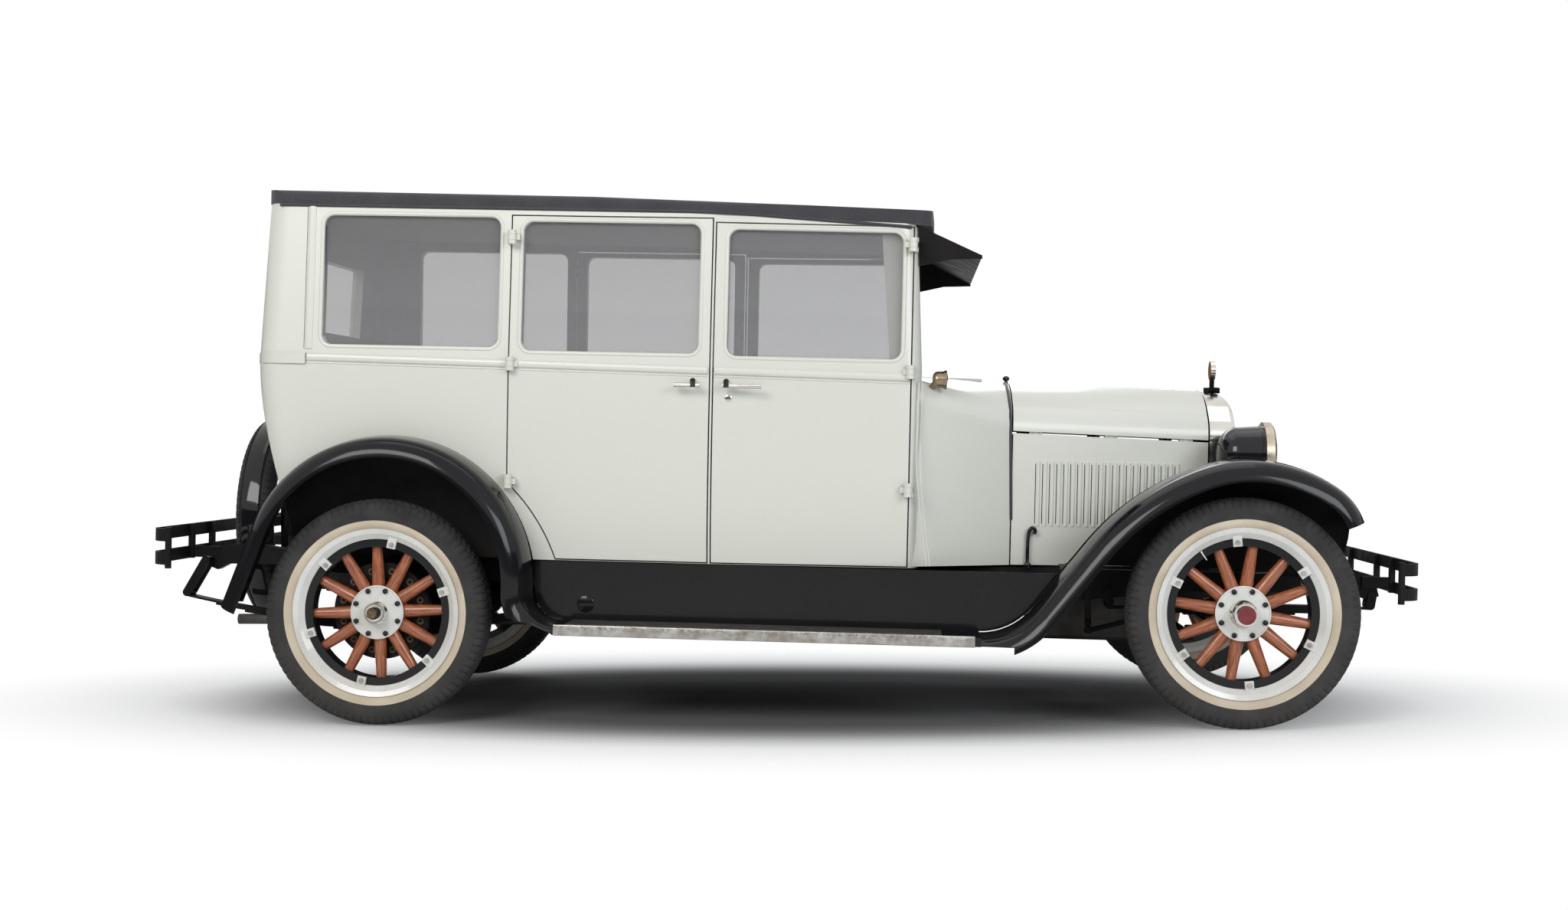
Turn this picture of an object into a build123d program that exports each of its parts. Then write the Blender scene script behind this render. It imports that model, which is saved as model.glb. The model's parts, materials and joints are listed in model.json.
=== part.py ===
from build123d import *
import os
from math import asin, atan2, cos, degrees, hypot, radians, sin

# A 1920s four-door saloon on wood-spoked wheels, in millimetres.
# X runs forward, Y to the car's left, Z up; the origin is on the ground, midway along the length.

# Chassis plan
WHEELBASE = 2946
TRACK = 1422
REAR_OVERHANG = 796       # rear axle to the rear bumper's face
FRONT_OVERHANG = 586      # front axle to the front bumper's face
AX_R = (REAR_OVERHANG - FRONT_OVERHANG - WHEELBASE) / 2
AX_F = AX_R + WHEELBASE
RAKE = 1.5                # degrees that everything on the springs leans nose down
WHEEL_Y = TRACK / 2

# Wheels: radii from the axle, widths across the wheel
TYRE_R = 390
TYRE_SIDES = 48
TYRE_W = 133
RIM_FLANGE_R = 289
RIM_SEAT_R = 278
RIM_IN_R = 253
RIM_W = 112
BEAD_W = 88
FELLOE_IN_R = 226
FELLOE_W = 60
SPOKES = 12
SPOKE_TIP_R = 17
SPOKE_ROOT_R = 23
HUB_FLANGE_R = 93
HUB_FLANGE_T = 9
HUB_R = 38
HUB_IN = 38               # inner end of the hub from the wheel's middle plane
HUB_CAP_OUT = 103
REAR_HUB_OUT = 84
LUGS = 6
LUG_W = 30
LUG_IN_R = 226
LUG_OUT_R = 266
LUG_T = 12
DRUM_R = 168
DRUM_T = 8
DRUM_IN = 66
DRUM_OUT = 30
SPINDLE_R = 16
SHAFT_R = 18
RUN = 0.05                # radial clearance of a running fit

# Front axle and steering
KING_Y = 620
KING_R = 11
BOSS_R = 26
BOSS_H = 90
BEAM_T = 46
BEAM_H = 54
BEAM_WEB = 14
EAR_T = 19.5
EAR_GAP = 0.5
STEER_MAX = 28
ARM_BACK = 160            # track arms, back from the kingpins
BALL_R = 8
EYE_R = 17
TIE_R = 12
DRAG_Y = 436
DRAG_R = 9
PITMAN_X = AX_R + 2460
PITMAN_Z = 470
PITMAN_LEN = 142
PITMAN_R = 12
PITMAN_Y = 421.5          # inner face of the pitman arm, clear of the spring's links
PITMAN_T = 14
BEAM_DROP = 55            # how far the beam dips between the springs
PINION_NOSE = 172         # front of the rear axle's housing

# Chassis frame, measured from the rear axle in the frame's own level
SILL_Z = 580
RAIL_T = 45
RAIL_DEPTH = 125
RAIL_REAR_Y = 430
RAIL_FRONT_Y = 385
RAIL_NARROW = (1400, 2100)
RAIL_WEB = 7              # thickness of the channel
CRANK_R = 14              # the starting handle's hole, in a bracket under the front cross-member
CRANK_Z = 505

# Leaf springs: eyes in world X and Z, rear one first
SPRING_W = 50
SPRING_REAR_Y = 480
FRONT_EYES = ((AX_F - 408, 390), (AX_F + 498, 388))
REAR_EYES = ((AX_R - 760, 440), (AX_R + 745, 430))
EYE_T = 7
PIN_R = 8
LINK_R = 15
LINK_T = 6
LINK_GAP = 0.3

# Coachwork, measured the same way
WALL = 45
BELT_Z = 1265
B_PILLAR = (1116, 1132)
DOOR_REAR_X = 422
DOOR_FRONT_X = 1806
TAPER = 50
COWL_FRONT_X = 2170
HOOD_FRONT_X = 2885
SHELL_FRONT_X = 2975
SHELL_ROUND = ((2936, 1222), (2975, 1110))   # where the shell's brow bends down
CORNER_R = 90
PANEL_GAP = 5
HOOD_T = 4
HOOD_HINGE_DROP = 5       # middle hinge below the hood's top line
HOOD_KNUCKLE_R = 7
HOOD_PIN_R = 3
HOOD_KNUCKLES = 8
LOUVRES = (2255, 2783, 728, 957)
LOUVRE_COUNT = 21
LOUVRE_R = 8
GLASS_T = 5
GLASS_IN = 18
DOOR_ARCH_R = 622
FENDER_Y = 850
FENDER_T = 4
FENDER_LIP = 75
REAR_FENDER_IN = 600
FRONT_FENDER_IN = 560
BOARD = (616, 2060, 341, 372)
HINGE_OUT = 16
HINGE_R = 15
HINGE_H = 47
HINGE_MID = 19            # the door's knuckle, between the body's two
HINGE_ARM = 18            # from the pin to the end of the body's hinge arms
HINGE_PIN_R = 4
KNUCKLE_GAP = 0.5
HINGE_Z = (851, 1256, 1692)


def raked(shape):
    """Puts a shape drawn level, from the rear axle, on the leaning springs."""
    return Pos(AX_R, 0, 0) * Rot(0, RAKE, 0) * shape


def level(x, z):
    """The world X and Z of a point that is given in the raked frame."""
    a = radians(RAKE)
    return AX_R + x * cos(a) + z * sin(a), z * cos(a) - x * sin(a)


def pair(shape):
    """A right-hand piece with its left-hand twin."""
    return Compound(children=[*shape.solids(), *mirror(shape, about=Plane.XZ).solids()])


def block(x0, x1, y0, y1, z0, z1):
    """A box between two corners, given in any order."""
    return Pos((x0 + x1) / 2, (y0 + y1) / 2, (z0 + z1) / 2) * Box(abs(x1 - x0), abs(y1 - y0), abs(z1 - z0))


def rod(start, end, radius):
    """A round bar between two points."""
    a, b = Vector(*start), Vector(*end)
    return Plane(origin=a, z_dir=b - a) * Cylinder(
        radius, (b - a).length, align=(Align.CENTER, Align.CENTER, Align.MIN))


def side_face(points):
    """A face in the XZ plane through straight-edged points."""
    return make_face(Polyline(*[(x, 0, z) for x, z in points], close=True))


def side_slab(face, y0, y1):
    """Extrudes an XZ face from y0 to y1."""
    return Pos(0, y0, 0) * extrude(face, y1 - y0, dir=(0, 1, 0))


def track(start, heading, steps):
    """Edges in the XZ plane from a table of steps: (length, None) or (radius, turn in degrees)."""
    x, z = start
    a = radians(heading)
    edges = []
    for size, turn in steps:
        if turn is None:
            nx, nz = x + size * cos(a), z + size * sin(a)
            edges.append(Line((x, 0, z), (nx, 0, nz)))
        else:
            t = radians(turn)
            side = 1 if turn > 0 else -1
            cx, cz = x - side * size * sin(a), z + side * size * cos(a)
            points = []
            for share in (0.5, 1):
                b = a + t * share
                points.append((cx + side * size * sin(b), 0, cz - side * size * cos(b)))
            edges.append(ThreePointArc((x, 0, z), *points))
            nx, nz = points[1][0], points[1][2]
            a += t
        x, z = nx, nz
    return edges


# Wheels

def tyre():
    """A tyre of flat facets, so that five of them stay light: its flats touch the round form."""
    half = TYRE_W / 2
    # Half of the section: distance from the middle plane, radius
    rows = ((BEAD_W / 2, RIM_FLANGE_R), (half - 4, 310), (half, 336), (half - 5, 364), (50, TYRE_R - 10),
            (20, TYRE_R))
    sections = [*[(-w, r) for w, r in rows], *[(w, r) for w, r in reversed(rows)]]
    outer = loft([facet_ring(w, r) for w, r in sections], ruled=True)
    bore = extrude(facet_ring(-TYRE_W, RIM_SEAT_R), 2 * TYRE_W, dir=(0, 1, 0))
    return outer - bore


def facet_ring(y, radius):
    """A polygon across the Y axis whose flats lie at a radius."""
    return Plane(origin=(0, y, 0), x_dir=(1, 0, 0), z_dir=(0, 1, 0)) * RegularPolygon(
        radius, TYRE_SIDES, major_radius=False, rotation=180 / TYRE_SIDES)


def rim():
    half = RIM_W / 2
    points = [
        (-BEAD_W / 2, RIM_SEAT_R), (-BEAD_W / 2, RIM_FLANGE_R), (-half, RIM_FLANGE_R), (-half + 6, 272),
        (-FELLOE_W / 2 - 4, RIM_IN_R), (FELLOE_W / 2 + 4, RIM_IN_R), (half - 6, 272), (half, RIM_FLANGE_R),
        (BEAD_W / 2, RIM_FLANGE_R), (BEAD_W / 2, RIM_SEAT_R),
    ]
    return revolve(make_face(Polyline(*[(0, w, r) for w, r in points], close=True)), Axis.Y)


def ring(y0, y1, r_in, r_out):
    """A ring about the Y axis."""
    return revolve(make_face(Polyline((0, y0, r_in), (0, y1, r_in), (0, y1, r_out), (0, y0, r_out),
                                      close=True)), Axis.Y)


def lug(angle):
    """One rim clamp, on the outer face of the felloe."""
    face = -FELLOE_W / 2
    piece = block(-LUG_W / 2, LUG_W / 2, face - LUG_T, face + 1, LUG_IN_R, LUG_OUT_R)
    bolt = rod((0, face - LUG_T - 9, 240), (0, face - LUG_T, 240), 8)
    return Rot(0, 90 - angle, 0) * (piece + bolt)


def spoked_wheel(spoke_phase, lug_phase, front):
    """Rim, felloe, spokes and hub of a right-hand wheel, outer side towards -Y."""
    wheel = rim() + ring(-FELLOE_W / 2, FELLOE_W / 2, FELLOE_IN_R, RIM_IN_R)
    for k in range(SPOKES):
        spoke = Pos(0, 0, 80) * Cone(SPOKE_ROOT_R, SPOKE_TIP_R, FELLOE_IN_R + 4 - 80,
                                     align=(Align.CENTER, Align.CENTER, Align.MIN))
        wheel += Rot(0, 90 - spoke_phase - 360 / SPOKES * k, 0) * spoke
    outer = -SPOKE_ROOT_R
    bore = (SPINDLE_R if front else SHAFT_R) + RUN
    wheel += ring(outer - HUB_FLANGE_T, -outer + HUB_FLANGE_T, bore, HUB_FLANGE_R)
    wheel += ring(-HUB_IN, HUB_IN, bore, HUB_R)
    wheel = Compound(children=wheel.solids()) if len(wheel.solids()) > 1 else wheel
    if front:
        wheel += ring(-HUB_CAP_OUT + 12, outer, bore, HUB_R)
        wheel += rod((0, -HUB_CAP_OUT, 0), (0, -HUB_CAP_OUT + 14, 0), 31)
    else:
        wheel += ring(-REAR_HUB_OUT + 12, outer, bore, 34)
        wheel += ring(DRUM_OUT, DRUM_OUT + 6, bore, DRUM_R)
        wheel += ring(DRUM_OUT, DRUM_IN, DRUM_R - DRUM_T, DRUM_R)
    for k in range(LUGS):
        wheel += lug(lug_phase + 360 / LUGS * k)
    return wheel


# Axles and steering

def front_axle():
    low = TYRE_R - BOSS_H / 2
    y0, y1, knee, dip = KING_Y - 15, KING_Y - 130, KING_Y - 34, low - BEAM_DROP
    half = [(y0, low), (knee, low), (y1, dip), (-y1, dip), (-knee, low), (-y0, low), (-y0, low + BEAM_H),
            (-knee, low + BEAM_H), (-y1, dip + BEAM_H), (y1, dip + BEAM_H), (knee, low + BEAM_H),
            (y0, low + BEAM_H)]
    face = make_face(Polyline(*[(0, y, z) for y, z in half], close=True))
    beam = Pos(-BEAM_T / 2, 0, 0) * extrude(face, BEAM_T, dir=(1, 0, 0))
    for side in (1, -1):
        beam -= block(BEAM_WEB / 2 * side, BEAM_T * side, -y1, y1, dip + 12, dip + BEAM_H - 12)
        beam += Pos(0, KING_Y * side, TYRE_R) * Cylinder(BOSS_R, BOSS_H)
        beam += Pos(0, KING_Y * side, TYRE_R) * Cylinder(KING_R, BOSS_H + 2 * (EAR_T + EAR_GAP) + 8)
        pad_y = side * RAIL_FRONT_Y
        beam += block(-40, 40, pad_y - 30, pad_y + 30, dip + BEAM_H, dip + BEAM_H + 6)
    return Pos(AX_F, 0, 0) * beam


def knuckle(right):
    """A right-hand stub axle on its kingpin, with its arms, at the world place."""
    top = TYRE_R + BOSS_H / 2 + EAR_GAP
    low = TYRE_R - BOSS_H / 2 - EAR_GAP
    web_y = -(BOSS_R + 3)
    piece = block(-22, 22, web_y - 18, web_y, low - EAR_T, top + EAR_T)
    for z in (top, low - EAR_T):
        ear = Pos(0, 0, z + EAR_T / 2) * Cylinder(BOSS_R, EAR_T) + block(-22, 22, web_y, 0, z, z + EAR_T)
        piece += ear
    hub_end = KING_Y - WHEEL_Y - REAR_HUB_OUT + 8
    piece += rod((0, web_y - 18, TYRE_R), (0, hub_end, TYRE_R), SPINDLE_R)
    arm_z = low - EAR_T
    piece += block(-ARM_BACK, -10, -12, 12, arm_z, arm_z + 15)
    piece += Pos(-ARM_BACK, 0, arm_z + 7.5) * Cylinder(EYE_R, 15)
    piece += rod((-ARM_BACK, 0, arm_z - 34), (-ARM_BACK, 0, arm_z + 1), BALL_R)
    if right:
        reach = KING_Y - DRAG_Y
        piece += block(-12, 12, 0, reach, top + 3, top + EAR_T)
        piece += Pos(0, reach, top + 3 + (EAR_T - 3) / 2) * Cylinder(EYE_R, EAR_T - 3)
        piece += rod((0, reach, top - 28), (0, reach, top + 4), BALL_R)
    piece -= Pos(0, 0, TYRE_R) * Cylinder(KING_R + RUN, 300)
    piece = Pos(AX_F, -KING_Y, 0) * piece
    return piece if right else mirror(piece, about=Plane.XZ)


def tie_rod():
    arm_z = TYRE_R - BOSS_H / 2 - EAR_GAP - EAR_T
    z = arm_z - 18
    bar = rod((AX_F - ARM_BACK, 10 - KING_Y, z), (AX_F - ARM_BACK, KING_Y - 10, z), TIE_R)
    for side in (1, -1):
        bar += Pos(AX_F - ARM_BACK, side * KING_Y, z) * Cylinder(EYE_R, 30)
    for side in (1, -1):
        bar -= Pos(AX_F - ARM_BACK, side * KING_Y, z) * Cylinder(BALL_R + RUN, 60)
    return bar


def drag_link():
    top = TYRE_R + BOSS_H / 2 + EAR_GAP
    z_front = top - 14
    z_rear = PITMAN_Z - PITMAN_LEN - 13 - 0.3 - 11
    link = Pos(AX_F, -DRAG_Y, z_front) * Cylinder(EYE_R, 26)
    link += rod((AX_F - 8, -DRAG_Y, z_front), (PITMAN_X + 10, -DRAG_Y, z_rear), DRAG_R)
    link += Pos(PITMAN_X, -DRAG_Y, z_rear) * Cylinder(16, 22)
    return link - Pos(AX_F, -DRAG_Y, z_front) * Cylinder(BALL_R + RUN, 60)


def pitman_arm():
    end_z = PITMAN_Z - PITMAN_LEN
    y0 = -PITMAN_Y
    arm = block(PITMAN_X - 11, PITMAN_X + 11, y0 - PITMAN_T, y0, end_z, PITMAN_Z)
    for z, r in ((PITMAN_Z, 24), (end_z, 12)):
        arm += rod((PITMAN_X, y0 - PITMAN_T, z), (PITMAN_X, y0, z), r)
    arm += Pos(PITMAN_X, -DRAG_Y, end_z) * Sphere(13)
    return arm - rod((PITMAN_X, y0 - 30, PITMAN_Z), (PITMAN_X, y0 + 30, PITMAN_Z), PITMAN_R + RUN)


COLUMN_TOP = (1640, 1150)
COLUMN_LOW = (2430, 560)
COLUMN_Y = -326
COLUMN_R = 19
WHEEL_RIM_R = 215
WHEEL_TUBE_R = 13


def column_plane(distance):
    """A plane across the steering column, its Z up the column towards the driver."""
    (x0, z0), (x1, z1) = COLUMN_TOP, COLUMN_LOW
    length = hypot(x1 - x0, z1 - z0)
    ux, uz = (x1 - x0) / length, (z1 - z0) / length
    middle = (x0 + ux * distance, COLUMN_Y, z0 + uz * distance)
    return Plane(origin=middle, x_dir=(0, 1, 0), z_dir=(-ux, 0, -uz))


def steering_wheel():
    wheel = Torus(WHEEL_RIM_R, WHEEL_TUBE_R) + Cylinder(30, 34) - Cylinder(12 + RUN, 60)
    for k in range(4):
        spoke = Rot(0, 0, 45 + 90 * k) * block(24, WHEEL_RIM_R - 4, -9, 9, -5, 5)
        wheel += spoke
    return raked(column_plane(0) * wheel)


def steering_gear():
    """The column, its box on the right-hand rail, and the shaft that carries the pitman arm."""
    length = hypot(COLUMN_LOW[0] - COLUMN_TOP[0], COLUMN_LOW[1] - COLUMN_TOP[1])
    tube = column_plane(22) * Cylinder(COLUMN_R, length - 22, align=(Align.CENTER, Align.CENTER, Align.MAX))
    tube += column_plane(-17) * Cylinder(12, 60, align=(Align.CENTER, Align.CENTER, Align.MAX))
    gear = raked(tube)
    box_x = PITMAN_X
    gear += block(box_x - 40, box_x + 40, -RAIL_FRONT_Y + RAIL_T / 2, -RAIL_FRONT_Y + 85,
                  PITMAN_Z - 50, PITMAN_Z + 45)
    gear += rod((box_x, -RAIL_FRONT_Y + 60, PITMAN_Z), (box_x, -PITMAN_Y - PITMAN_T - 3, PITMAN_Z), PITMAN_R)
    return gear


def rear_axle():
    axle = rod((0, -WHEEL_Y + DRUM_IN + 6, TYRE_R), (0, WHEEL_Y - DRUM_IN - 6, TYRE_R), 38)
    profile = [Line((0, -120, 0), (0, -120, 60)), ThreePointArc((0, -120, 60), (0, -85, 130), (0, 0, 150)),
               ThreePointArc((0, 0, 150), (0, 85, 130), (0, 120, 60)), Line((0, 120, 60), (0, 120, 0)),
               Line((0, 120, 0), (0, -120, 0))]
    axle += Pos(0, 0, TYRE_R) * revolve(make_face(profile), Axis.Y)
    axle += rod((100, 0, TYRE_R), (PINION_NOSE, 0, TYRE_R), 54)
    for side in (1, -1):
        plate = Pos(0, side * (WHEEL_Y - DRUM_IN - 4), TYRE_R) * Rot(90, 0, 0) * Cylinder(DRUM_R, 5)
        axle += plate
        axle += rod((0, side * 600, TYRE_R), (0, side * (WHEEL_Y + REAR_HUB_OUT + 4), TYRE_R), SHAFT_R)
        axle += rod((0, side * (WHEEL_Y + REAR_HUB_OUT - 11), TYRE_R),
                    (0, side * (WHEEL_Y + REAR_HUB_OUT + 4), TYRE_R), SHAFT_R + 3)
        y = side * SPRING_REAR_Y
        axle += block(-50, 50, y - 30, y + 30, TYRE_R - 48, TYRE_R - 10)
    return Pos(AX_R, 0, 0) * axle


def leaf_pack(x0, z0, x1, z1, low, leaves, thick, width, y):
    """Leaves on one arc whose top runs from (x0, z0) through height low to (x1, z1), the others below."""
    xm = (x0 + x1) / 2
    half = (x1 - x0) / 2
    rise = (z0 + z1) / 2 - low
    radius = (half * half + rise * rise) / (2 * rise)
    tilt = degrees(atan2(z1 - z0, x1 - x0))
    pack = None
    for i in range(leaves):
        r0 = radius + i * thick
        r1 = r0 + thick
        span = asin(min(0.99, half / radius)) * (1 - i / (leaves + 1))
        pts = []
        for r in (r0, r1):
            for s in (-1, 0, 1):
                pts.append((r * sin(span * s), 0, radius - r * cos(span * s)))
        face = make_face([ThreePointArc(*pts[:3]), Line(pts[2], pts[5]),
                          ThreePointArc(pts[5], pts[4], pts[3]), Line(pts[3], pts[0])])
        leaf = side_slab(face, y - width / 2, y + width / 2)
        pack = leaf if pack is None else pack + leaf
    return Pos(xm, 0, low) * Rot(0, -tilt, 0) * pack


def eyed_pack(eyes, low, y):
    """A leaf pack with rolled eyes at both ends of its main leaf."""
    (x0, z0), (x1, z1) = eyes
    r = PIN_R + LINK_GAP + EYE_T
    pack = leaf_pack(x0, z0 - r + EYE_T, x1, z1 - r + EYE_T, low, 6, EYE_T, SPRING_W, y)
    for x, z in eyes:
        pack += Pos(x, y, z) * Rot(90, 0, 0) * Cylinder(r, SPRING_W)
        pack -= Pos(x, y, z) * Rot(90, 0, 0) * Cylinder(PIN_R + LINK_GAP, SPRING_W + 20)
    return pack


def springs():
    seat = TYRE_R - BOSS_H / 2 - BEAM_DROP + BEAM_H + 6
    front = eyed_pack(FRONT_EYES, seat + 42, -RAIL_FRONT_Y)
    front -= block(AX_F - 45, AX_F + 45, -500, -300, seat - 20, seat)
    rear = eyed_pack(REAR_EYES, TYRE_R - 48, -SPRING_REAR_Y)
    rear -= block(AX_R - 55, AX_R + 55, -560, -400, TYRE_R - 48, TYRE_R - 30)
    return Compound(children=[*pair(front).solids(), *pair(rear).solids()])


# Chassis frame

def shackles():
    """Spring eye and pivot of each hanger, as half width, eye and pivot."""
    return (
        (RAIL_FRONT_Y, FRONT_EYES[0], (FRONT_EYES[0][0] - 5, 440)),
        (RAIL_FRONT_Y, FRONT_EYES[1], (FRONT_EYES[1][0] + 6, FRONT_EYES[1][1] + 34)),
        (SPRING_REAR_Y, REAR_EYES[0], (AX_R - 690, 556)),
        (SPRING_REAR_Y, REAR_EYES[1], (REAR_EYES[1][0] - 4, REAR_EYES[1][1] + 40)),
    )


def shackle(y, x0, z0, x1, z1):
    """Two links between a spring's eye and a pivot on the rail, with their pins."""
    reach = SPRING_W / 2 + LINK_GAP
    piece = rod((x0, y - reach - LINK_T, z0), (x0, y + reach + LINK_T, z0), PIN_R)
    piece += rod((x1, y - reach - LINK_T, z1), (x1, y + reach + LINK_T, z1), PIN_R + 3)
    length, turn = hypot(x1 - x0, z1 - z0), degrees(atan2(z1 - z0, x1 - x0))
    link = Rot(90, 0, 0) * extrude(SlotCenterToCenter(length, 2 * LINK_R), LINK_T / 2, both=True)
    for side in (1, -1):
        piece += Pos((x0 + x1) / 2, y + side * (reach + LINK_T / 2), (z0 + z1) / 2) * Rot(0, -turn, 0) * link
    return piece


def rail_y(x):
    """Middle of a rail at a distance from the rear axle, in the frame's level."""
    x0, x1 = RAIL_NARROW
    share = min(max((x - x0) / (x1 - x0), 0), 1)
    return RAIL_REAR_Y + (RAIL_FRONT_Y - RAIL_REAR_Y) * share


def frame():
    x_rear, x_front = -640, 3400
    side = side_face([
        (x_rear - 80, 515), (x_rear - 40, 500), (x_rear, 522), (-430, 524), (-250, SILL_Z - 80),
        (300, SILL_Z - 90), (600, SILL_Z - RAIL_DEPTH), (2300, SILL_Z - RAIL_DEPTH), (2800, 510),
        (x_front - 60, 526), (x_front + 26, 496), (x_front + 62, 512),
        (x_front + 50, 560), (x_front - 40, 603), (3040, SILL_Z), (-430, SILL_Z), (-560, 600), (x_rear, 588),
        (x_rear - 80, 545),
    ])
    half = RAIL_T / 2
    x0, x1 = RAIL_NARROW
    plan = make_face(Polyline(
        (x_rear - 100, -RAIL_REAR_Y - half), (x0, -RAIL_REAR_Y - half), (x1, -RAIL_FRONT_Y - half),
        (x_front + 100, -RAIL_FRONT_Y - half), (x_front + 100, -RAIL_FRONT_Y + half),
        (x1, -RAIL_FRONT_Y + half), (x0, -RAIL_REAR_Y + half), (x_rear - 100, -RAIL_REAR_Y + half),
        close=True))
    hollow = Pos(0, RAIL_WEB, 0) * extrude(plan, 900, dir=(0, 0, 1))
    hollow = hollow & side_slab(offset(side, -RAIL_WEB), -700, -100)
    rail = (side_slab(side, -700, -100) & extrude(plan, 900, dir=(0, 0, 1))) - hollow
    rails = rail + mirror(rail, about=Plane.XZ)
    # Cross-members: x, half width, z from, z to, depth
    members = ((-475, RAIL_REAR_Y, 526, 576, 40), (620, RAIL_REAR_Y, 500, 560, 60),
               (1870, RAIL_FRONT_Y + 14, 525, 576, 60), (2895, RAIL_FRONT_Y, 525, SILL_Z, 80))
    for x, y, z0, z1, depth in members:
        y += half - RAIL_WEB / 2
        rails += block(x, x + depth, -y, y, z0, z1)
    rails += block(2905, 2965, -24, 24, CRANK_Z - 23, 527)
    rails -= rod((2880, 0, CRANK_Z), (2990, 0, CRANK_Z), CRANK_R)
    rails = raked(rails)
    for y, (x0, z0), (x1, z1) in shackles():
        for side in (1, -1):
            rails += shackle(side * y, x0, z0, x1, z1)
    return rails - rod((PITMAN_X, 0, PITMAN_Z), (PITMAN_X, -600, PITMAN_Z), PITMAN_R + RUN)


# Coachwork

# Levels of the coach: height, rear face, front face, half width
COACH_LOW = ((SILL_Z, -345, 1845, 650), (800, -402, 1845, 680), (1020, -455, 1845, 691),
             (BELT_Z, -480, 1845, 695))
COACH_TOP = ((BELT_Z, -480, 1845, 695), (1840, -455, 1818, 671))
COACH_Y = COACH_LOW[-1][3]
FRONT_X = COACH_LOW[-1][2]
# Underside of the roof along the car: x, height
ROOF_LINE = ((-475, 1803), (700, 1795), (1885, 1765))
ROOF_EDGE = 46
ROOF_CROWN = 26
ROOF_Y = 676


def coach_outline(z, rear, front, half, inset, reach=0):
    """The coach in plan at one height; reach draws the front forward."""
    x0, x1 = rear + inset, front - inset + reach
    y0, y1 = half - inset, half - TAPER - inset
    face = make_face(Polyline((x0, -y0), (B_PILLAR[0], -y0), (x1, -y1), (x1, y1), (B_PILLAR[0], y0), (x0, y0),
                              close=True))
    corners = face.vertices().sort_by(Axis.X)
    face = fillet(corners[:2], max(CORNER_R - inset, 10))
    corners = face.vertices().sort_by(Axis.X)
    face = fillet(corners[-2:], max(60 - inset, 8))
    return Pos(0, 0, z) * face


def coach(inset, reach=0):
    """The outer form of the coach, drawn in by inset."""
    low = loft([coach_outline(*row, inset, reach) for row in COACH_LOW])
    top = loft([coach_outline(*row, inset, reach) for row in COACH_TOP], ruled=True)
    return low + top


def roof_form(drop, height, grow):
    """A crowned slab that follows the roof line, drop below it and height above."""
    faces = []
    for x, z in ROOF_LINE:
        y = ROOF_Y + grow
        z0, z1 = z - drop, z + height
        r = min(36, height / 2)
        edges = [
            Line((x, -y, z0), (x, y, z0)), Line((x, y, z0), (x, y, z1 - r)),
            ThreePointArc((x, y, z1 - r), (x, y - r * 0.29, z1 - r * 0.29), (x, y - r, z1)),
            ThreePointArc((x, y - r, z1), (x, 0, z1 + ROOF_CROWN), (x, -y + r, z1)),
            ThreePointArc((x, -y + r, z1), (x, -y + r * 0.29, z1 - r * 0.29), (x, -y, z1 - r)),
            Line((x, -y, z1 - r), (x, -y, z0)),
        ]
        faces.append(make_face(edges))
    return loft(faces, ruled=True)


def roof_cover():
    slab = roof_form(0, ROOF_EDGE, 0)
    plan = make_face(Polyline((-458, -ROOF_Y - 1), (1150, -ROOF_Y - 1), (1870, -620), (1884, 0), (1870, 620),
                              (1150, ROOF_Y + 1), (-458, ROOF_Y + 1), close=True))
    corners = plan.vertices().sort_by(Axis.X)
    plan = fillet(corners[:2], CORNER_R)
    corners = plan.vertices().sort_by(Axis.X)
    plan = fillet(corners[-3:-1], 60)
    return raked(slab & Pos(0, 0, 1600) * extrude(plan, 400, dir=(0, 0, 1)))


def above_roof():
    """Everything over the roof line, to trim the coach."""
    faces = [make_face(Polyline((x, -900, z), (x, 900, z), (x, 900, 2100), (x, -900, 2100), close=True))
             for x, z in ROOF_LINE]
    return loft(faces, ruled=True)


# The shell's pressings: name, x from, x to, y from, y to
BODY_CUTS = (
    ("body_rear", -600, -290, -900, 900),
    ("body_side_right", -290, 1765, -900, 0),
    ("body_side_left", -290, 1765, 0, 900),
    ("windshield_frame", 1765, FRONT_X, -900, 900),
    ("cowl", FRONT_X, 2300, -900, 900),
)

# Side windows: x from, x to, sill, top
WINDOWS = {
    "quarter": (-240, 380, 1312, 1763),
    "rear": (461, 1077, 1303, 1750),
    "front": (1175, 1772, 1298, 1734),
}
WINDOW_R = 34
REAR_WINDOW = (420, 1385, 1655)
SHIELD = (560, 1300, 1735)


def window_slab(name, y0, y1):
    x0, x1, z0, z1 = WINDOWS[name]
    face = side_face([(x0, z0), (x1, z0), (x1, z1), (x0, z1)])
    return side_slab(fillet(face.vertices(), WINDOW_R), y0, y1)


REAR_FENDER = ((-547, 406), 69.5, ((290, None), (497, -159.5), (30, None), (98, 90)))
FRONT_FENDER = ((BOARD[1], BOARD[3]), 0,
                ((226, 52), (295, None), (820, -32), (470, -20), (520, -33), (230, -37)))


def under(table, grow, y0, y1):
    """The space under a fender's crown line, grown by some millimetres, in the body's level."""
    edges = track(*table)
    start, end = edges[0] @ 0, edges[-1] @ 1
    face = make_face([*edges, Line(end, (end.X, 0, 250)), Line((end.X, 0, 250), (start.X, 0, 250)),
                      Line((start.X, 0, 250), start)])
    face = offset(face, grow) if grow else face
    return side_slab(face, y0, y1)


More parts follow.
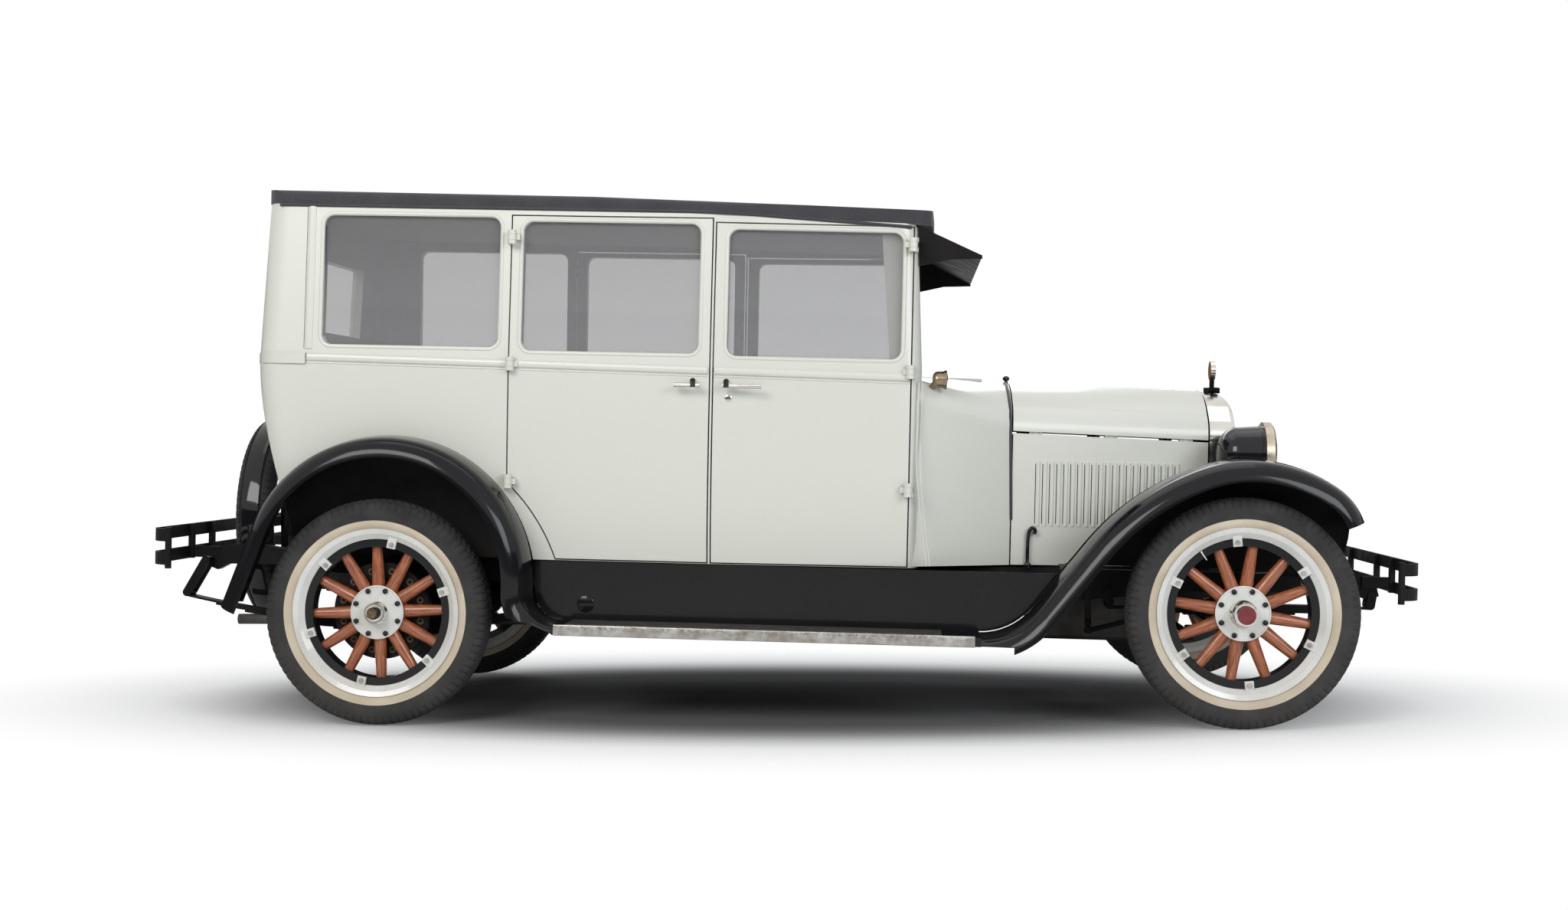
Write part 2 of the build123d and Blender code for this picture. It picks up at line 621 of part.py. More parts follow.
def door_slab(front, gap, y0, y1):
    """The outline of one door through the wall, grown by gap."""
    if front:
        x0, x1 = B_PILLAR[1] - gap, DOOR_FRONT_X + gap
    else:
        x0, x1 = DOOR_REAR_X - gap, B_PILLAR[0] + gap
    z0, z1 = SILL_Z + 6 - gap, 1768 - (14 if front else 0) + gap
    slab = block(x0, x1, y0, y1, z0, z1)
    if not front:
        slab -= Pos(0, (y0 + y1) / 2, TYRE_R) * Rot(90, 0, 0) * Cylinder(DOOR_ARCH_R - gap, abs(y1 - y0) + 10)
    return slab


def hinge_axis(front):
    """The hinge line of a right-hand door, as x and y in the body's level."""
    if front:
        return DOOR_FRONT_X, -(COACH_Y - TAPER + HINGE_OUT)
    return DOOR_REAR_X + 6, -(COACH_Y + HINGE_OUT)


def door(front, wall):
    """One right-hand door with its hinge barrels and handle, in the body's level."""
    panel = (wall & door_slab(front, 0, -800, -500)) - coach(WALL, 90)
    panel -= window_slab("front" if front else "rear", -800, -500)
    x, y = hinge_axis(front)
    inward = -1 if front else 1
    for z in HINGE_Z:
        barrel = Pos(x, y, z) * Cylinder(HINGE_R, HINGE_MID)
        foot = block(x, x + inward * 26, y + 2, y + 50, z - HINGE_MID / 2, z + HINGE_MID / 2)
        barrel += foot & door_slab(front, 0, -800, -500)
        panel += barrel - Pos(x, y, z) * Cylinder(HINGE_PIN_R + RUN, HINGE_H)
    x0, shaft = (1210, 1180) if front else (1000, 1066)
    y_face = -(COACH_Y - (6 if front else 0))
    panel += rod((shaft, y_face + 6, 1211), (shaft, y_face - 44, 1211), 8)
    panel += rod((min(x0, shaft - 14), y_face - 42, 1194), (x0 + 90, y_face - 42, 1194), 8)
    panel += block(shaft - 9, shaft + 9, y_face - 50, y_face - 34, 1188, 1215)
    return panel


def cowl_section(x, half_low, half_top, z_low, z_side, z_corner, y_corner, z_top, inset):
    """One section of the cowl across the car."""
    yl, yt = half_low - inset, half_top - inset
    zc, zt = z_corner - inset, z_top - inset
    yc = y_corner - inset
    ym, zm = yt - (yt - yc) * 0.24, z_side + (zc - z_side) * 0.62
    edges = [
        Line((x, -yl, z_low), (x, yl, z_low)), Line((x, yl, z_low), (x, yt, z_side)),
        ThreePointArc((x, yt, z_side), (x, ym, zm), (x, yc, zc)),
        ThreePointArc((x, yc, zc), (x, 0, zt), (x, -yc, zc)),
        ThreePointArc((x, -yc, zc), (x, -ym, zm), (x, -yt, z_side)),
        Line((x, -yt, z_side), (x, -yl, z_low)),
    ]
    return make_face(edges)


HOOD_REAR = (404, 404, 588, 1060, 1165, 330, 1241)
HOOD_FRONT = (268, 268, 588, 1041, 1138, 222, 1229)
COWL_REAR = (602, 645, 585, 1150, 1240, 560, 1264)


def cowl(inset):
    x0, x1 = FRONT_X - 40, COWL_FRONT_X
    return loft([cowl_section(x0, *COWL_REAR, inset), cowl_section(x1, *HOOD_REAR, inset)], ruled=True)


def body_shell(wall):
    shell = wall
    within = coach(WALL + PANEL_GAP, 90)
    doorways = [door_slab(front, PANEL_GAP, -800, -500) - within for front in (True, False)]
    for doorway in doorways:
        shell -= doorway
        shell -= mirror(doorway, about=Plane.XZ)
    for side in (1, -1):
        shell -= window_slab("quarter", min(side * 800, side * 500), max(side * 800, side * 500))
    half, z0, z1 = REAR_WINDOW
    shell -= block(-600, -350, -half, half, z0, z1)
    half, z0, z1 = SHIELD
    shell -= block(1700, 2000, -half, half, z0, z1)
    shell -= block(1700, 2000, -555, 555, 500, 1225)
    t = 8
    y_in = REAR_FENDER_IN
    house = under(REAR_FENDER, t, -900, -y_in + t) - under(REAR_FENDER, 0, -900, -y_in)
    house = house & coach(2) & block(-500, 521, -900, 0, SILL_Z, 1100)
    shell -= under(REAR_FENDER, 0, -900, -y_in) + under(REAR_FENDER, 0, y_in, 900)
    shell += house
    shell += mirror(house, about=Plane.XZ)
    scuttle = cowl(0) - cowl(14) - block(1700, FRONT_X - 45, -800, 800, 500, 1300)
    scuttle -= doorways[0]
    scuttle -= mirror(doorways[0], about=Plane.XZ)
    shell += scuttle
    for side in (1, -1):
        for front in (True, False):
            x, y = hinge_axis(front)
            outward = 1 if front else -1
            for z in HINGE_Z:
                tall = (HINGE_H - HINGE_MID) / 2 - KNUCKLE_GAP
                knuckle_ = Pos(x, y, z) * Cylinder(HINGE_PIN_R, HINGE_H)
                for up in (1, -1):
                    mid = z + up * (HINGE_H - tall) / 2
                    knuckle_ += Pos(x, y, mid) * Cylinder(HINGE_R, tall)
                    arm = block(x, x + outward * HINGE_ARM, y + 2, y + HINGE_R - 1,
                                mid - tall / 2, mid + tall / 2)
                    arm += block(x + outward * (HINGE_ARM - 12), x + outward * HINGE_ARM, y + 2, y + 66,
                                 mid - tall / 2, mid + tall / 2)
                    knuckle_ += arm
                shell += knuckle_ if side > 0 else mirror(knuckle_, about=Plane.XZ)
    return shell


def glass_panes(skin, names):
    """Panes that fill the side windows named, on the right-hand side."""
    return [skin & window_slab(name, -800, -500) for name in names]


# Fenders, boards and hood

def fender_section(y_in, y_out, lip):
    """The crowned sheet across a right-hand fender: Y across the car, Z away from the wheel."""
    t = FENDER_T
    knee = y_out - 62
    mid = (y_in + knee) / 2
    edges = [
        ThreePointArc((-y_in, -12), (-mid, 0), (-knee, -6)),
        ThreePointArc((-knee, -6), (-y_out + 16, -30), (-y_out, -lip)),
        Line((-y_out, -lip), (-y_out + t, -lip)),
        ThreePointArc((-y_out + t, -lip), (-y_out + 16 + t, -30 - t), (-knee, -6 - t)),
        ThreePointArc((-knee, -6 - t), (-mid, -t), (-y_in, -12 - t)),
        Line((-y_in, -12 - t), (-y_in, -12)),
    ]
    return make_face(edges)


def fender(start, heading, steps, y_in):
    """A right-hand fender swept along its side profile, from back to front."""
    edges = track(start, heading, steps)
    path = Wire(edges)
    a = radians(heading)
    plane = Plane(origin=(start[0], 0, start[1]), x_dir=(0, 1, 0), z_dir=(cos(a), 0, sin(a)))
    section = plane * fender_section(y_in, FENDER_Y, FENDER_LIP)
    return sweep(section, path=path)


def rear_fender():
    sheet = fender(*REAR_FENDER, REAR_FENDER_IN)
    foot = side_face([(440, 200), (440, 400), (540, 372), (BOARD[0], BOARD[2]), (900, BOARD[2]), (900, 200)])
    sheet -= side_slab(foot, -900, -500)
    return raked(sheet)


def front_fender():
    sheet = fender(*FRONT_FENDER, FRONT_FENDER_IN)
    sheet -= block(BOARD[1] - 50, 2170, -900, -500, 200, BOARD[2])
    return raked(sheet)


def running_board():
    x0, x1, z0, z1 = BOARD
    board = block(x0, x1, -FENDER_Y, -640, z0, z1)
    face = side_face([(x0 - 100, z0), (x0 - 100, SILL_Z - 3), (2340, SILL_Z - 3), (2340, z0)])
    apron = side_slab(face, -640, -636)
    apron -= under(REAR_FENDER, 1, -660, -600)
    apron -= under(FRONT_FENDER, 1, -660, -600)
    return raked(board + (apron & block(x0 - 100, 2340, -700, -600, z0, SILL_Z)))


def hood_form(inset):
    x0, x1 = COWL_FRONT_X + PANEL_GAP, HOOD_FRONT_X - PANEL_GAP
    return loft([cowl_section(x0, *HOOD_REAR, inset), cowl_section(x1, *HOOD_FRONT, inset)], ruled=True)


def along_hood(y0, z0, y1, z1, share, length, radius):
    """A bar of some length round the hood's line from (y0, z0) at the cowl to (y1, z1) at the radiator."""
    a, b = Vector(COWL_FRONT_X, y0, z0), Vector(HOOD_FRONT_X, y1, z1)
    mid, way = a + (b - a) * share, (b - a).normalized()
    return rod(mid - way * (length / 2), mid + way * (length / 2), radius)


def top_line():
    """The hood's middle hinge, as y and z at the cowl and at the radiator."""
    return 0, HOOD_REAR[6] - HOOD_HINGE_DROP, 0, HOOD_FRONT[6] - HOOD_HINGE_DROP


def shoulder_line():
    """The hinge inside the hood's shoulder, on the right."""
    drop = HOOD_T + HOOD_KNUCKLE_R + 3
    return -HOOD_REAR[0] + drop, HOOD_REAR[3], -HOOD_FRONT[0] + drop, HOOD_FRONT[3]


def louvres(slits):
    """The raised ribs of the hood's side, or the slits beside them."""
    slope = (HOOD_REAR[0] - HOOD_FRONT[0]) / (HOOD_FRONT_X - COWL_FRONT_X)
    x0, x1, z0, z1 = LOUVRES
    pieces = []
    for k in range(LOUVRE_COUNT):
        x = x0 + (x1 - x0) * (k + 0.5) / LOUVRE_COUNT
        y = -HOOD_REAR[0] + (x - COWL_FRONT_X) * slope
        if slits:
            pieces.append(block(x - 11, x - LOUVRE_R, y - 10, y + 10, z0 + 8, z1 - 8))
        else:
            rib = rod((x, y + 3, z0), (x, y + 3, z1), LOUVRE_R)
            pieces.append(rib - block(x - 20, x + 20, y + 3, y + 20, z0 - 1, z1 + 1))
    return pieces


def hood_parts(right):
    """The right-hand top and side panels of the hood, in the body's level."""
    shell = hood_form(0) - hood_form(HOOD_T) - block(2000, 3000, -600, 600, 500, SILL_Z + 9)
    x0, x1 = COWL_FRONT_X, HOOD_FRONT_X
    seam0, seam1 = HOOD_REAR[3], HOOD_FRONT[3]
    above = side_face([(x0, seam0 + 4), (x1, seam1 + 4), (x1, 1400), (x0, 1400)])
    below = side_face([(x0, seam0 - 4), (x1, seam1 - 4), (x1, 500), (x0, 500)])
    above = side_slab(above, -600, -HOOD_KNUCKLE_R - 4)
    below = side_slab(below, -600, -3)
    top, panel = shell & above, shell & below
    panel = panel - louvres(True) + louvres(False)
    line = top_line()
    for k in range(HOOD_KNUCKLES):
        if (k % 2 == 0) == right:
            share = (k + 0.5) / HOOD_KNUCKLES
            x = COWL_FRONT_X + (HOOD_FRONT_X - COWL_FRONT_X) * share
            z = line[1] + (line[3] - line[1]) * share
            wide = (HOOD_FRONT_X - COWL_FRONT_X) / HOOD_KNUCKLES - PANEL_GAP - 2
            top += along_hood(*line, share, wide, HOOD_KNUCKLE_R)
            top += block(x - wide / 2 + 2, x + wide / 2 - 2, -HOOD_KNUCKLE_R - 12, 0, z - 1, z + 1.5)
    top -= along_hood(*line, 0.5, 900, HOOD_PIN_R + RUN)
    line = shoulder_line()
    for share in (0.12, 0.5, 0.88):
        way = HOOD_FRONT_X - COWL_FRONT_X
        x = COWL_FRONT_X + way * share
        y, z = line[0] + (line[2] - line[0]) * share, line[1] + (line[3] - line[1]) * share
        ring_ = along_hood(*line, share, 22, HOOD_KNUCKLE_R)
        panel += ring_ + block(x - 10, x + 10, y - HOOD_KNUCKLE_R - 6, y, z - 8, z - 4.5)
        panel -= along_hood(*line, share, 60, HOOD_PIN_R + RUN)
        for side in (1, -1):
            top += along_hood(*line, share + side * 18 / way, 12, HOOD_KNUCKLE_R)
            top += block(x + side * 18 - 5, x + side * 18 + 5, y - HOOD_KNUCKLE_R - 6, y, z + 4.5, z + 8)
        top += along_hood(*line, share, 48, HOOD_PIN_R)
    return top, panel


def radiator_shell():
    section = cowl_section(HOOD_FRONT_X, 272, 272, SILL_Z, 1041, 1138, 226, 1222, 0)
    outer = extrude(section, SHELL_FRONT_X - HOOD_FRONT_X, dir=(1, 0, 0))
    front = outer.faces().sort_by(Axis.X)[-1]
    outer = fillet(front.edges(), 14)
    opening = cowl_section(HOOD_FRONT_X - 10, 215, 215, 620, 990, 1060, 178, 1105, 0)
    shell = outer - extrude(opening, 200, dir=(1, 0, 0))
    (x0, z0), (x1, z1) = SHELL_ROUND
    bend = ThreePointArc((x0, 0, z0), (x0 + 0.68 * (x1 - x0), 0, z0 + 0.3 * (z1 - z0)), (x1, 0, z1))
    brow = make_face([bend, Line((x1, 0, z1), (x1 + 40, 0, z1)), Line((x1 + 40, 0, z1), (x1 + 40, 0, z0)),
                      Line((x1 + 40, 0, z0), (x0, 0, z0))])
    shell -= side_slab(brow, -400, 400)
    line = top_line()
    rise = (line[3] - line[1]) / (HOOD_FRONT_X - COWL_FRONT_X)
    start, end = 0.3, HOOD_FRONT_X - COWL_FRONT_X + 10
    return shell + rod((COWL_FRONT_X + start, 0, line[1] + rise * start),
                       (COWL_FRONT_X + end, 0, line[1] + rise * end), HOOD_PIN_R)


def radiator_core():
    opening = cowl_section(HOOD_FRONT_X + 10, 215, 215, 620, 990, 1060, 178, 1105, 0)
    return extrude(opening, SHELL_FRONT_X - HOOD_FRONT_X - 28, dir=(1, 0, 0))


def radiator_cap():
    x = 2930
    cap = Pos(x, 0, 1222) * Cylinder(30, 20, align=(Align.CENTER, Align.CENTER, Align.MIN))
    cap += block(x - 14, x + 14, -62, 62, 1230, 1242)
    cap += Pos(x, 0, 1240) * Cylinder(9, 40, align=(Align.CENTER, Align.CENTER, Align.MIN))
    cap += Pos(x, 0, 1306) * Rot(0, 90, 0) * Cylinder(35, 18)
    return cap


LAMP_Y = 400
LAMP_Z = 995


def headlamp():
    profile = [
        Line((2893, 0), (2893, 20)), ThreePointArc((2893, 20), (2908, 72), (2944, 97)),
        Line((2944, 97), (3044, 104)),
        Line((3044, 104), (3044, 118)), Line((3044, 118), (3072, 118)), Line((3072, 118), (3080, 106)),
        Line((3080, 106), (3060, 104)), Line((3060, 104), (3060, 0)), Line((3060, 0), (2893, 0)),
    ]
    drum = Pos(0, -LAMP_Y, LAMP_Z) * revolve(make_face(profile), Axis.X)
    drum += rod((2990, -LAMP_Y, 590), (2990, -LAMP_Y, LAMP_Z - 80), 14)
    drum += block(2960, 3020, -LAMP_Y - 18, -RAIL_FRONT_Y + 22, SILL_Z, 600)
    return drum


def cowl_lamp():
    x, y, z = 1883, -572, 1234
    profile = [
        Line((0, 0), (0, 9)), ThreePointArc((0, 9), (5, 23), (17, 29)), Line((17, 29), (40, 30)),
        Line((40, 30), (40, 33)), Line((40, 33), (49, 33)), Line((49, 33), (49, 26)),
        ThreePointArc((49, 26), (52, 14), (53, 4)), Line((53, 4), (53, 0)), Line((53, 0), (0, 0)),
    ]
    lamp = Pos(x, y, z) * revolve(make_face(profile), Axis.X)
    start, seat = Vertex(x + 18, y, z).closest_points(cowl(0))
    way = (seat - start).normalized()
    return lamp + rod(start, seat - way * LINK_GAP, 12)


def visor():
    """The sun visor over the windscreen, with its end plates."""
    t = 4
    top = side_slab(side_face([(1810, 1764), (2043, 1660), (2045, 1664), (1810, 1769)]), -600, 600)
    ends = side_face([(1827, 1757), (2043, 1662), (2045, 1653), (1935, 1649), (1880, 1636), (1827, 1624)])
    for side in (1, -1):
        y0, y1 = sorted((side * 600, side * (600 - t)))
        top += side_slab(ends, y0, y1)
    return top


def bumper(x_face, inward, z_upper, z_lower, arm_x, arm_y, arm_z):
    """Two bars that curl back to posts, with an arm to each rail; inward is 1 at the rear, -1 in front."""
    bars = None
    d = inward
    t = 10
    for z0, z1 in (z_upper, z_lower):
        outer = [
            Line((x_face, -680), (x_face, 680)),
            ThreePointArc((x_face, 680), (x_face + d * 26, 754), (x_face + d * 75, 780)),
            Line((x_face + d * 75, 780), (x_face + d * 75, 780 - t)),
            ThreePointArc((x_face + d * 75, 780 - t), (x_face + d * 33, 746), (x_face + d * t, 680)),
            Line((x_face + d * t, 680), (x_face + d * t, -680)),
            ThreePointArc((x_face + d * t, -680), (x_face + d * 33, -746), (x_face + d * 75, t - 780)),
            Line((x_face + d * 75, -780 + t), (x_face + d * 75, -780)),
            ThreePointArc((x_face + d * 75, -780), (x_face + d * 26, -754), (x_face, -680)),
        ]
        bar = Pos(0, 0, z0) * extrude(make_face(outer), z1 - z0, dir=(0, 0, 1))
        bars = bar if bars is None else bars + bar
    for side in (1, -1):
        post_x, post_y = x_face + d * 70, side * 768
        bars += rod((post_x, post_y, z_lower[0] - 12), (post_x, post_y, z_upper[1] + 4), 11)
        for y in (arm_y, 200):
            bars += block(x_face + d * 4, x_face + d * 22, side * y - 12, side * y + 12,
                          z_lower[0], z_upper[1])
        bars += block(x_face + d * 10, arm_x, side * (arm_y - 6), side * (arm_y + 6), arm_z - 20, arm_z + 20)
    return bars


# Underneath

def engine():
    block_ = block(2240, 2800, -150, 150, 520, 1000) + block(2260, 2760, -120, 120, 300, 520)
    unit = chamfer(block_.edges().filter_by(Axis.X), 12)
    reach = RAIL_FRONT_Y + RAIL_T / 2 - RAIL_WEB - LINK_GAP
    return raked(unit + block(2640, 2690, -reach, reach, 530, 566))


def drivetrain():
    reach = rail_y(2025) + RAIL_T / 2 - RAIL_WEB - LINK_GAP
    shaft = raked(block(1960, 2239.7, -125, 125, 380, 570) + block(1985, 2025, -reach, reach, 500, 540))
    x, z = level(1965, 465)
    return shaft + rod((x, 0, z), (AX_R + PINION_NOSE + 0.5, 0, TYRE_R), 36)


def exhaust():
    z = 325
    pipe = rod((AX_R - 640, -310, z), (AX_R + 900, -310, z), 19)
    pipe += rod((AX_R + 880, -310, z + 20), (AX_R + 1450, -310, z + 20), 62)
    x1, y2 = AX_R + 1900, -150 - 22.5
    pipe += rod((AX_R + 1440, -310, z + 20), (x1, -290, z + 40), 22)
    pipe += Pos(x1, -290, z + 40) * Sphere(22)
    pipe += rod((x1, -290, z + 40), (960, y2, 510), 22) + Pos(960, y2, 510) * Sphere(22)
    pipe += rod((960, y2, 510), (970, y2, 640), 22)
    for x, low in ((-455, 526), (650, 500)):
        hx, hz = level(x, low)
        pipe += block(hx - 6, hx + 6, -316, -304, z + 10, hz - 0.6)
    return pipe


def fuel_tank():
    tank = block(-434.7, -180, -350, 350, 430, 570)
    return raked(fillet(tank.edges().filter_by(Axis.Y), 40))


def floor():
    boards = coach(WALL + 6) & block(-400, FRONT_X - WALL - 6, -800, 800, SILL_Z, SILL_Z + 20)
    boards -= under(REAR_FENDER, 9, -900, 9 - REAR_FENDER_IN) + under(REAR_FENDER, 9, REAR_FENDER_IN - 9, 900)
    boards += block(FRONT_X - WALL - 7, FRONT_X + 2, -554, 554, SILL_Z, SILL_Z + 20)
    boards += cowl(15) & block(FRONT_X + 1, 2165, -800, 800, SILL_Z, SILL_Z + 20)
    boards += cowl(14.3) & block(2150, 2165, -800, 800, SILL_Z, 1400)
    length = hypot(COLUMN_LOW[0] - COLUMN_TOP[0], COLUMN_LOW[1] - COLUMN_TOP[1])
    boards -= column_plane(0) * Cylinder(COLUMN_R + 3, length, align=(Align.CENTER, Align.CENTER, Align.MAX))
    boards += block(1180, 1600, -540, 540, SILL_Z + 19, 720)
    boards += block(-300, 300, -560, 560, SILL_Z + 19, 740)
    return raked(boards)


def seats():
    front = block(1270, 1640, -560, 560, 720, 870) + block(1150, 1270, -560, 560, 720, 1240)
    rear = block(-180, 330, -575, 575, 740, 890) + block(-320, -180, -575, 575, 740, 1260)
    return raked(front), raked(rear)


# Spare wheel on the back
SPARE_X = AX_R - 570
SPARE_Z = 680


def upright(piece):
    """Turns a wheel piece to face backwards on the spare wheel's carrier."""
    return Pos(SPARE_X, 0, SPARE_Z) * Rot(0, 0, -90) * piece


def spare_carrier():
    piece = ring(-FELLOE_W / 2, FELLOE_W / 2, RIM_IN_R - 14, RIM_IN_R)
    piece += ring(20, FELLOE_W / 2, 30, 60)
    for k in range(3):
        piece += Rot(0, 90 + 120 * k, 0) * block(-18, 18, 20, FELLOE_W / 2, 40, RIM_IN_R - 6)
    arms = upright(piece)
    x0, x1 = SPARE_X + FELLOE_W / 2, AX_R - 430
    for side in (1, -1):
        arms += block(x0 - 8, x0 + 6, side * 90 - 20, side * 90 + 20, 500, 760)
        arms += block(x0 - 8, x1, side * 90 - 20, side * 90 + 20, 520, 560)
    arms += block(x0 - 8, x0 + 6, -110, 110, 620, 740)
    return arms - raked(block(-475, -300, -200, 200, 400, 700))


def build():
    wall = coach(0) - coach(WALL) - above_roof()
    wall -= block(-400, 1760, -560, 560, 500, 700)
    skin = coach(GLASS_IN) - coach(GLASS_IN + GLASS_T)
    doors = {"front": door(True, wall), "rear": door(False, wall)}
    parts = {}
    parts["frame"] = frame()
    parts["front_axle"] = front_axle()
    parts["rear_axle"] = rear_axle()
    parts["springs"] = springs()
    parts["engine"] = engine()
    parts["drivetrain"] = drivetrain()
    parts["exhaust"] = exhaust()
    parts["fuel_tank"] = fuel_tank()
    parts["steering_gear"] = steering_gear()
    parts["floor"] = floor()
    shell = body_shell(wall)
    for name, x0, x1, y0, y1 in BODY_CUTS:
        parts[name] = raked(shell & block(x0, x1, y0, y1, 400, 2000))
    parts["roof_cover"] = roof_cover()
    parts["visor"] = raked(visor() - coach(-0.3) - roof_form(0.3, ROOF_EDGE, 20))
    half, z0, z1 = SHIELD
    panes = glass_panes(skin, ["quarter"])
    panes += [mirror(panes[0], about=Plane.XZ), skin & block(1700, 2000, -half, half, z0, z1)]
    half, z0, z1 = REAR_WINDOW
    panes.append(skin & block(-600, -350, -half, half, z0, z1))
    parts["body_glass"] = raked(Compound(children=[s for p in panes for s in p.solids()]))
    parts["front_seat"], parts["rear_seat"] = seats()
    parts["radiator_shell"] = raked(radiator_shell())
    parts["radiator_core"] = raked(radiator_core())
    parts["radiator_cap"] = raked(radiator_cap())
    parts["headlamps"] = raked(pair(headlamp()))
    parts["cowl_lamps"] = raked(pair(cowl_lamp()))
    parts["rear_fenders"] = pair(rear_fender())
    parts["front_fenders"] = pair(front_fender())
    parts["running_boards"] = pair(running_board())
    a = radians(RAKE)
    x_front = (WHEELBASE + FRONT_OVERHANG - 649 * sin(a)) / cos(a)
    x_rear = (-REAR_OVERHANG - 536 * sin(a)) / cos(a)
    parts["front_bumper"] = raked(bumper(x_front, -1, (608, 649), (526, 564), 3400, RAIL_FRONT_Y + 29, 560))
    arm_y = RAIL_REAR_Y - RAIL_T / 2 - 6.3
    parts["rear_bumper"] = raked(bumper(x_rear, 1, (617, 661), (536, 580), -690, arm_y, 560))
    parts["spare_tyre"] = upright(tyre())
    parts["spare_rim"] = upright(rim())
    parts["spare_carrier"] = spare_carrier()
    for side, name in ((1, "right"), (-1, "left")):
        for end in ("front", "rear"):
            piece = doors[end]
            pane = glass_panes(skin, [end])[0]
            if side < 0:
                piece, pane = mirror(piece, about=Plane.XZ), mirror(pane, about=Plane.XZ)
            parts[f"door_{end}_{name}"] = raked(piece)
            parts[f"door_glass_{end}_{name}"] = raked(pane)
        top, panel = hood_parts(side > 0)
        if side < 0:
            top, panel = mirror(top, about=Plane.XZ), mirror(panel, about=Plane.XZ)
        parts[f"hood_top_{name}"] = raked(top)
        parts[f"hood_side_{name}"] = raked(panel)
        parts[f"knuckle_{name}"] = knuckle(True) if side > 0 else knuckle(False)
        for end, x, spoke_phase, lug_phase in (("front", AX_F, 20.4, 34.5), ("rear", AX_R, 1.5, 17)):
            whole = Pos(x, -WHEEL_Y, TYRE_R) * spoked_wheel(spoke_phase, lug_phase, end == "front")
            rubber = Pos(x, -WHEEL_Y, TYRE_R) * tyre()
            if side < 0:
                whole, rubber = mirror(whole, about=Plane.XZ), mirror(rubber, about=Plane.XZ)
            parts[f"wheel_{end}_{name}"] = whole
            parts[f"tyre_{end}_{name}"] = rubber
    parts["tie_rod"] = tie_rod()
    parts["drag_link"] = drag_link()
    parts["pitman_arm"] = pitman_arm()
    parts["steering_wheel"] = steering_wheel()
    return parts


os.makedirs("parts", exist_ok=True)
for name, shape in build().items():
    export_step(shape, f"parts/{name}.step")
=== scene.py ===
"""An upright 1920s saloon on wood-spoked wheels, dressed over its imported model."""
import json
import math

import bpy
from mathutils import Matrix, Vector


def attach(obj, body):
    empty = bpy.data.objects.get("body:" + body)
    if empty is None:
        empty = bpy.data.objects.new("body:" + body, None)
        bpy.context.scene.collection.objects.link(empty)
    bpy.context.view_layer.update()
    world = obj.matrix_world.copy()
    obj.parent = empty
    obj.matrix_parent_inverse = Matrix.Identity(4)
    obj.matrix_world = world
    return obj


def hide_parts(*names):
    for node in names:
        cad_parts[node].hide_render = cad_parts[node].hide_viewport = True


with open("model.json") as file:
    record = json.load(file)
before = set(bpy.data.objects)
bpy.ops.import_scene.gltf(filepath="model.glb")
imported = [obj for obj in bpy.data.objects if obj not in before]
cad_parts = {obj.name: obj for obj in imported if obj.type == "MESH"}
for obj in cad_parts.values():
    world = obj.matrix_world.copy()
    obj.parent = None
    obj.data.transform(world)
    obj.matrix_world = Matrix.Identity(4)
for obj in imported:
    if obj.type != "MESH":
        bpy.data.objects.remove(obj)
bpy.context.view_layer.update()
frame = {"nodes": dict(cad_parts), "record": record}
NODES = frame["nodes"]

# Sizes of the car in metres; the coachwork's own level leans nose down on its springs
AXLE_REAR, AXLE_FRONT = -1.368, 1.578
HUB_Y, HUB_Z = 0.711, 0.390
RAKE = math.radians(1.5)
RIM_IN_R, FELLOE_IN_R = 0.253, 0.226
SPARE_X, SPARE_Z = AXLE_REAR - 0.570, 0.680
SIDES = (("right", -1), ("left", 1))
ENDS = (("front", AXLE_FRONT), ("rear", AXLE_REAR))

# The photograph's camera, fitted with the wheelbase, track and wheel radii held
PHOTO_W, PHOTO_FOCAL = 2048, 2475
CAMERA_SPOT = (0.452, -7.166, 0.984)
CAMERA_TURN = (3.67, 0.51, 0.24)
SENSOR_W = 36


def at(x, y, z):
    """A world point, from millimetres ahead of the rear axle in the coachwork's own level."""
    c, s = math.cos(RAKE), math.sin(RAKE)
    return Vector((AXLE_REAR + (x * c + z * s) / 1000, y / 1000, (z * c - x * s) / 1000))


# Finishes

class Value:
    """A shader's number that arithmetic turns into Math nodes."""

    def __init__(self, finish, socket):
        self.finish, self.socket = finish, socket

    def maths(self, operation, a, b=0.0):
        return self.finish.node("Math", {"operation": operation}, {0: a, 1: b})

    def __add__(self, other):
        return self.maths("ADD", self, other)

    def __sub__(self, other):
        return self.maths("SUBTRACT", self, other)

    def __rsub__(self, other):
        return self.maths("SUBTRACT", other, self)

    def __mul__(self, other):
        return self.maths("MULTIPLY", self, other)

    def __pow__(self, other):
        return self.maths("POWER", self, other)

    __radd__, __rmul__ = __add__, __mul__


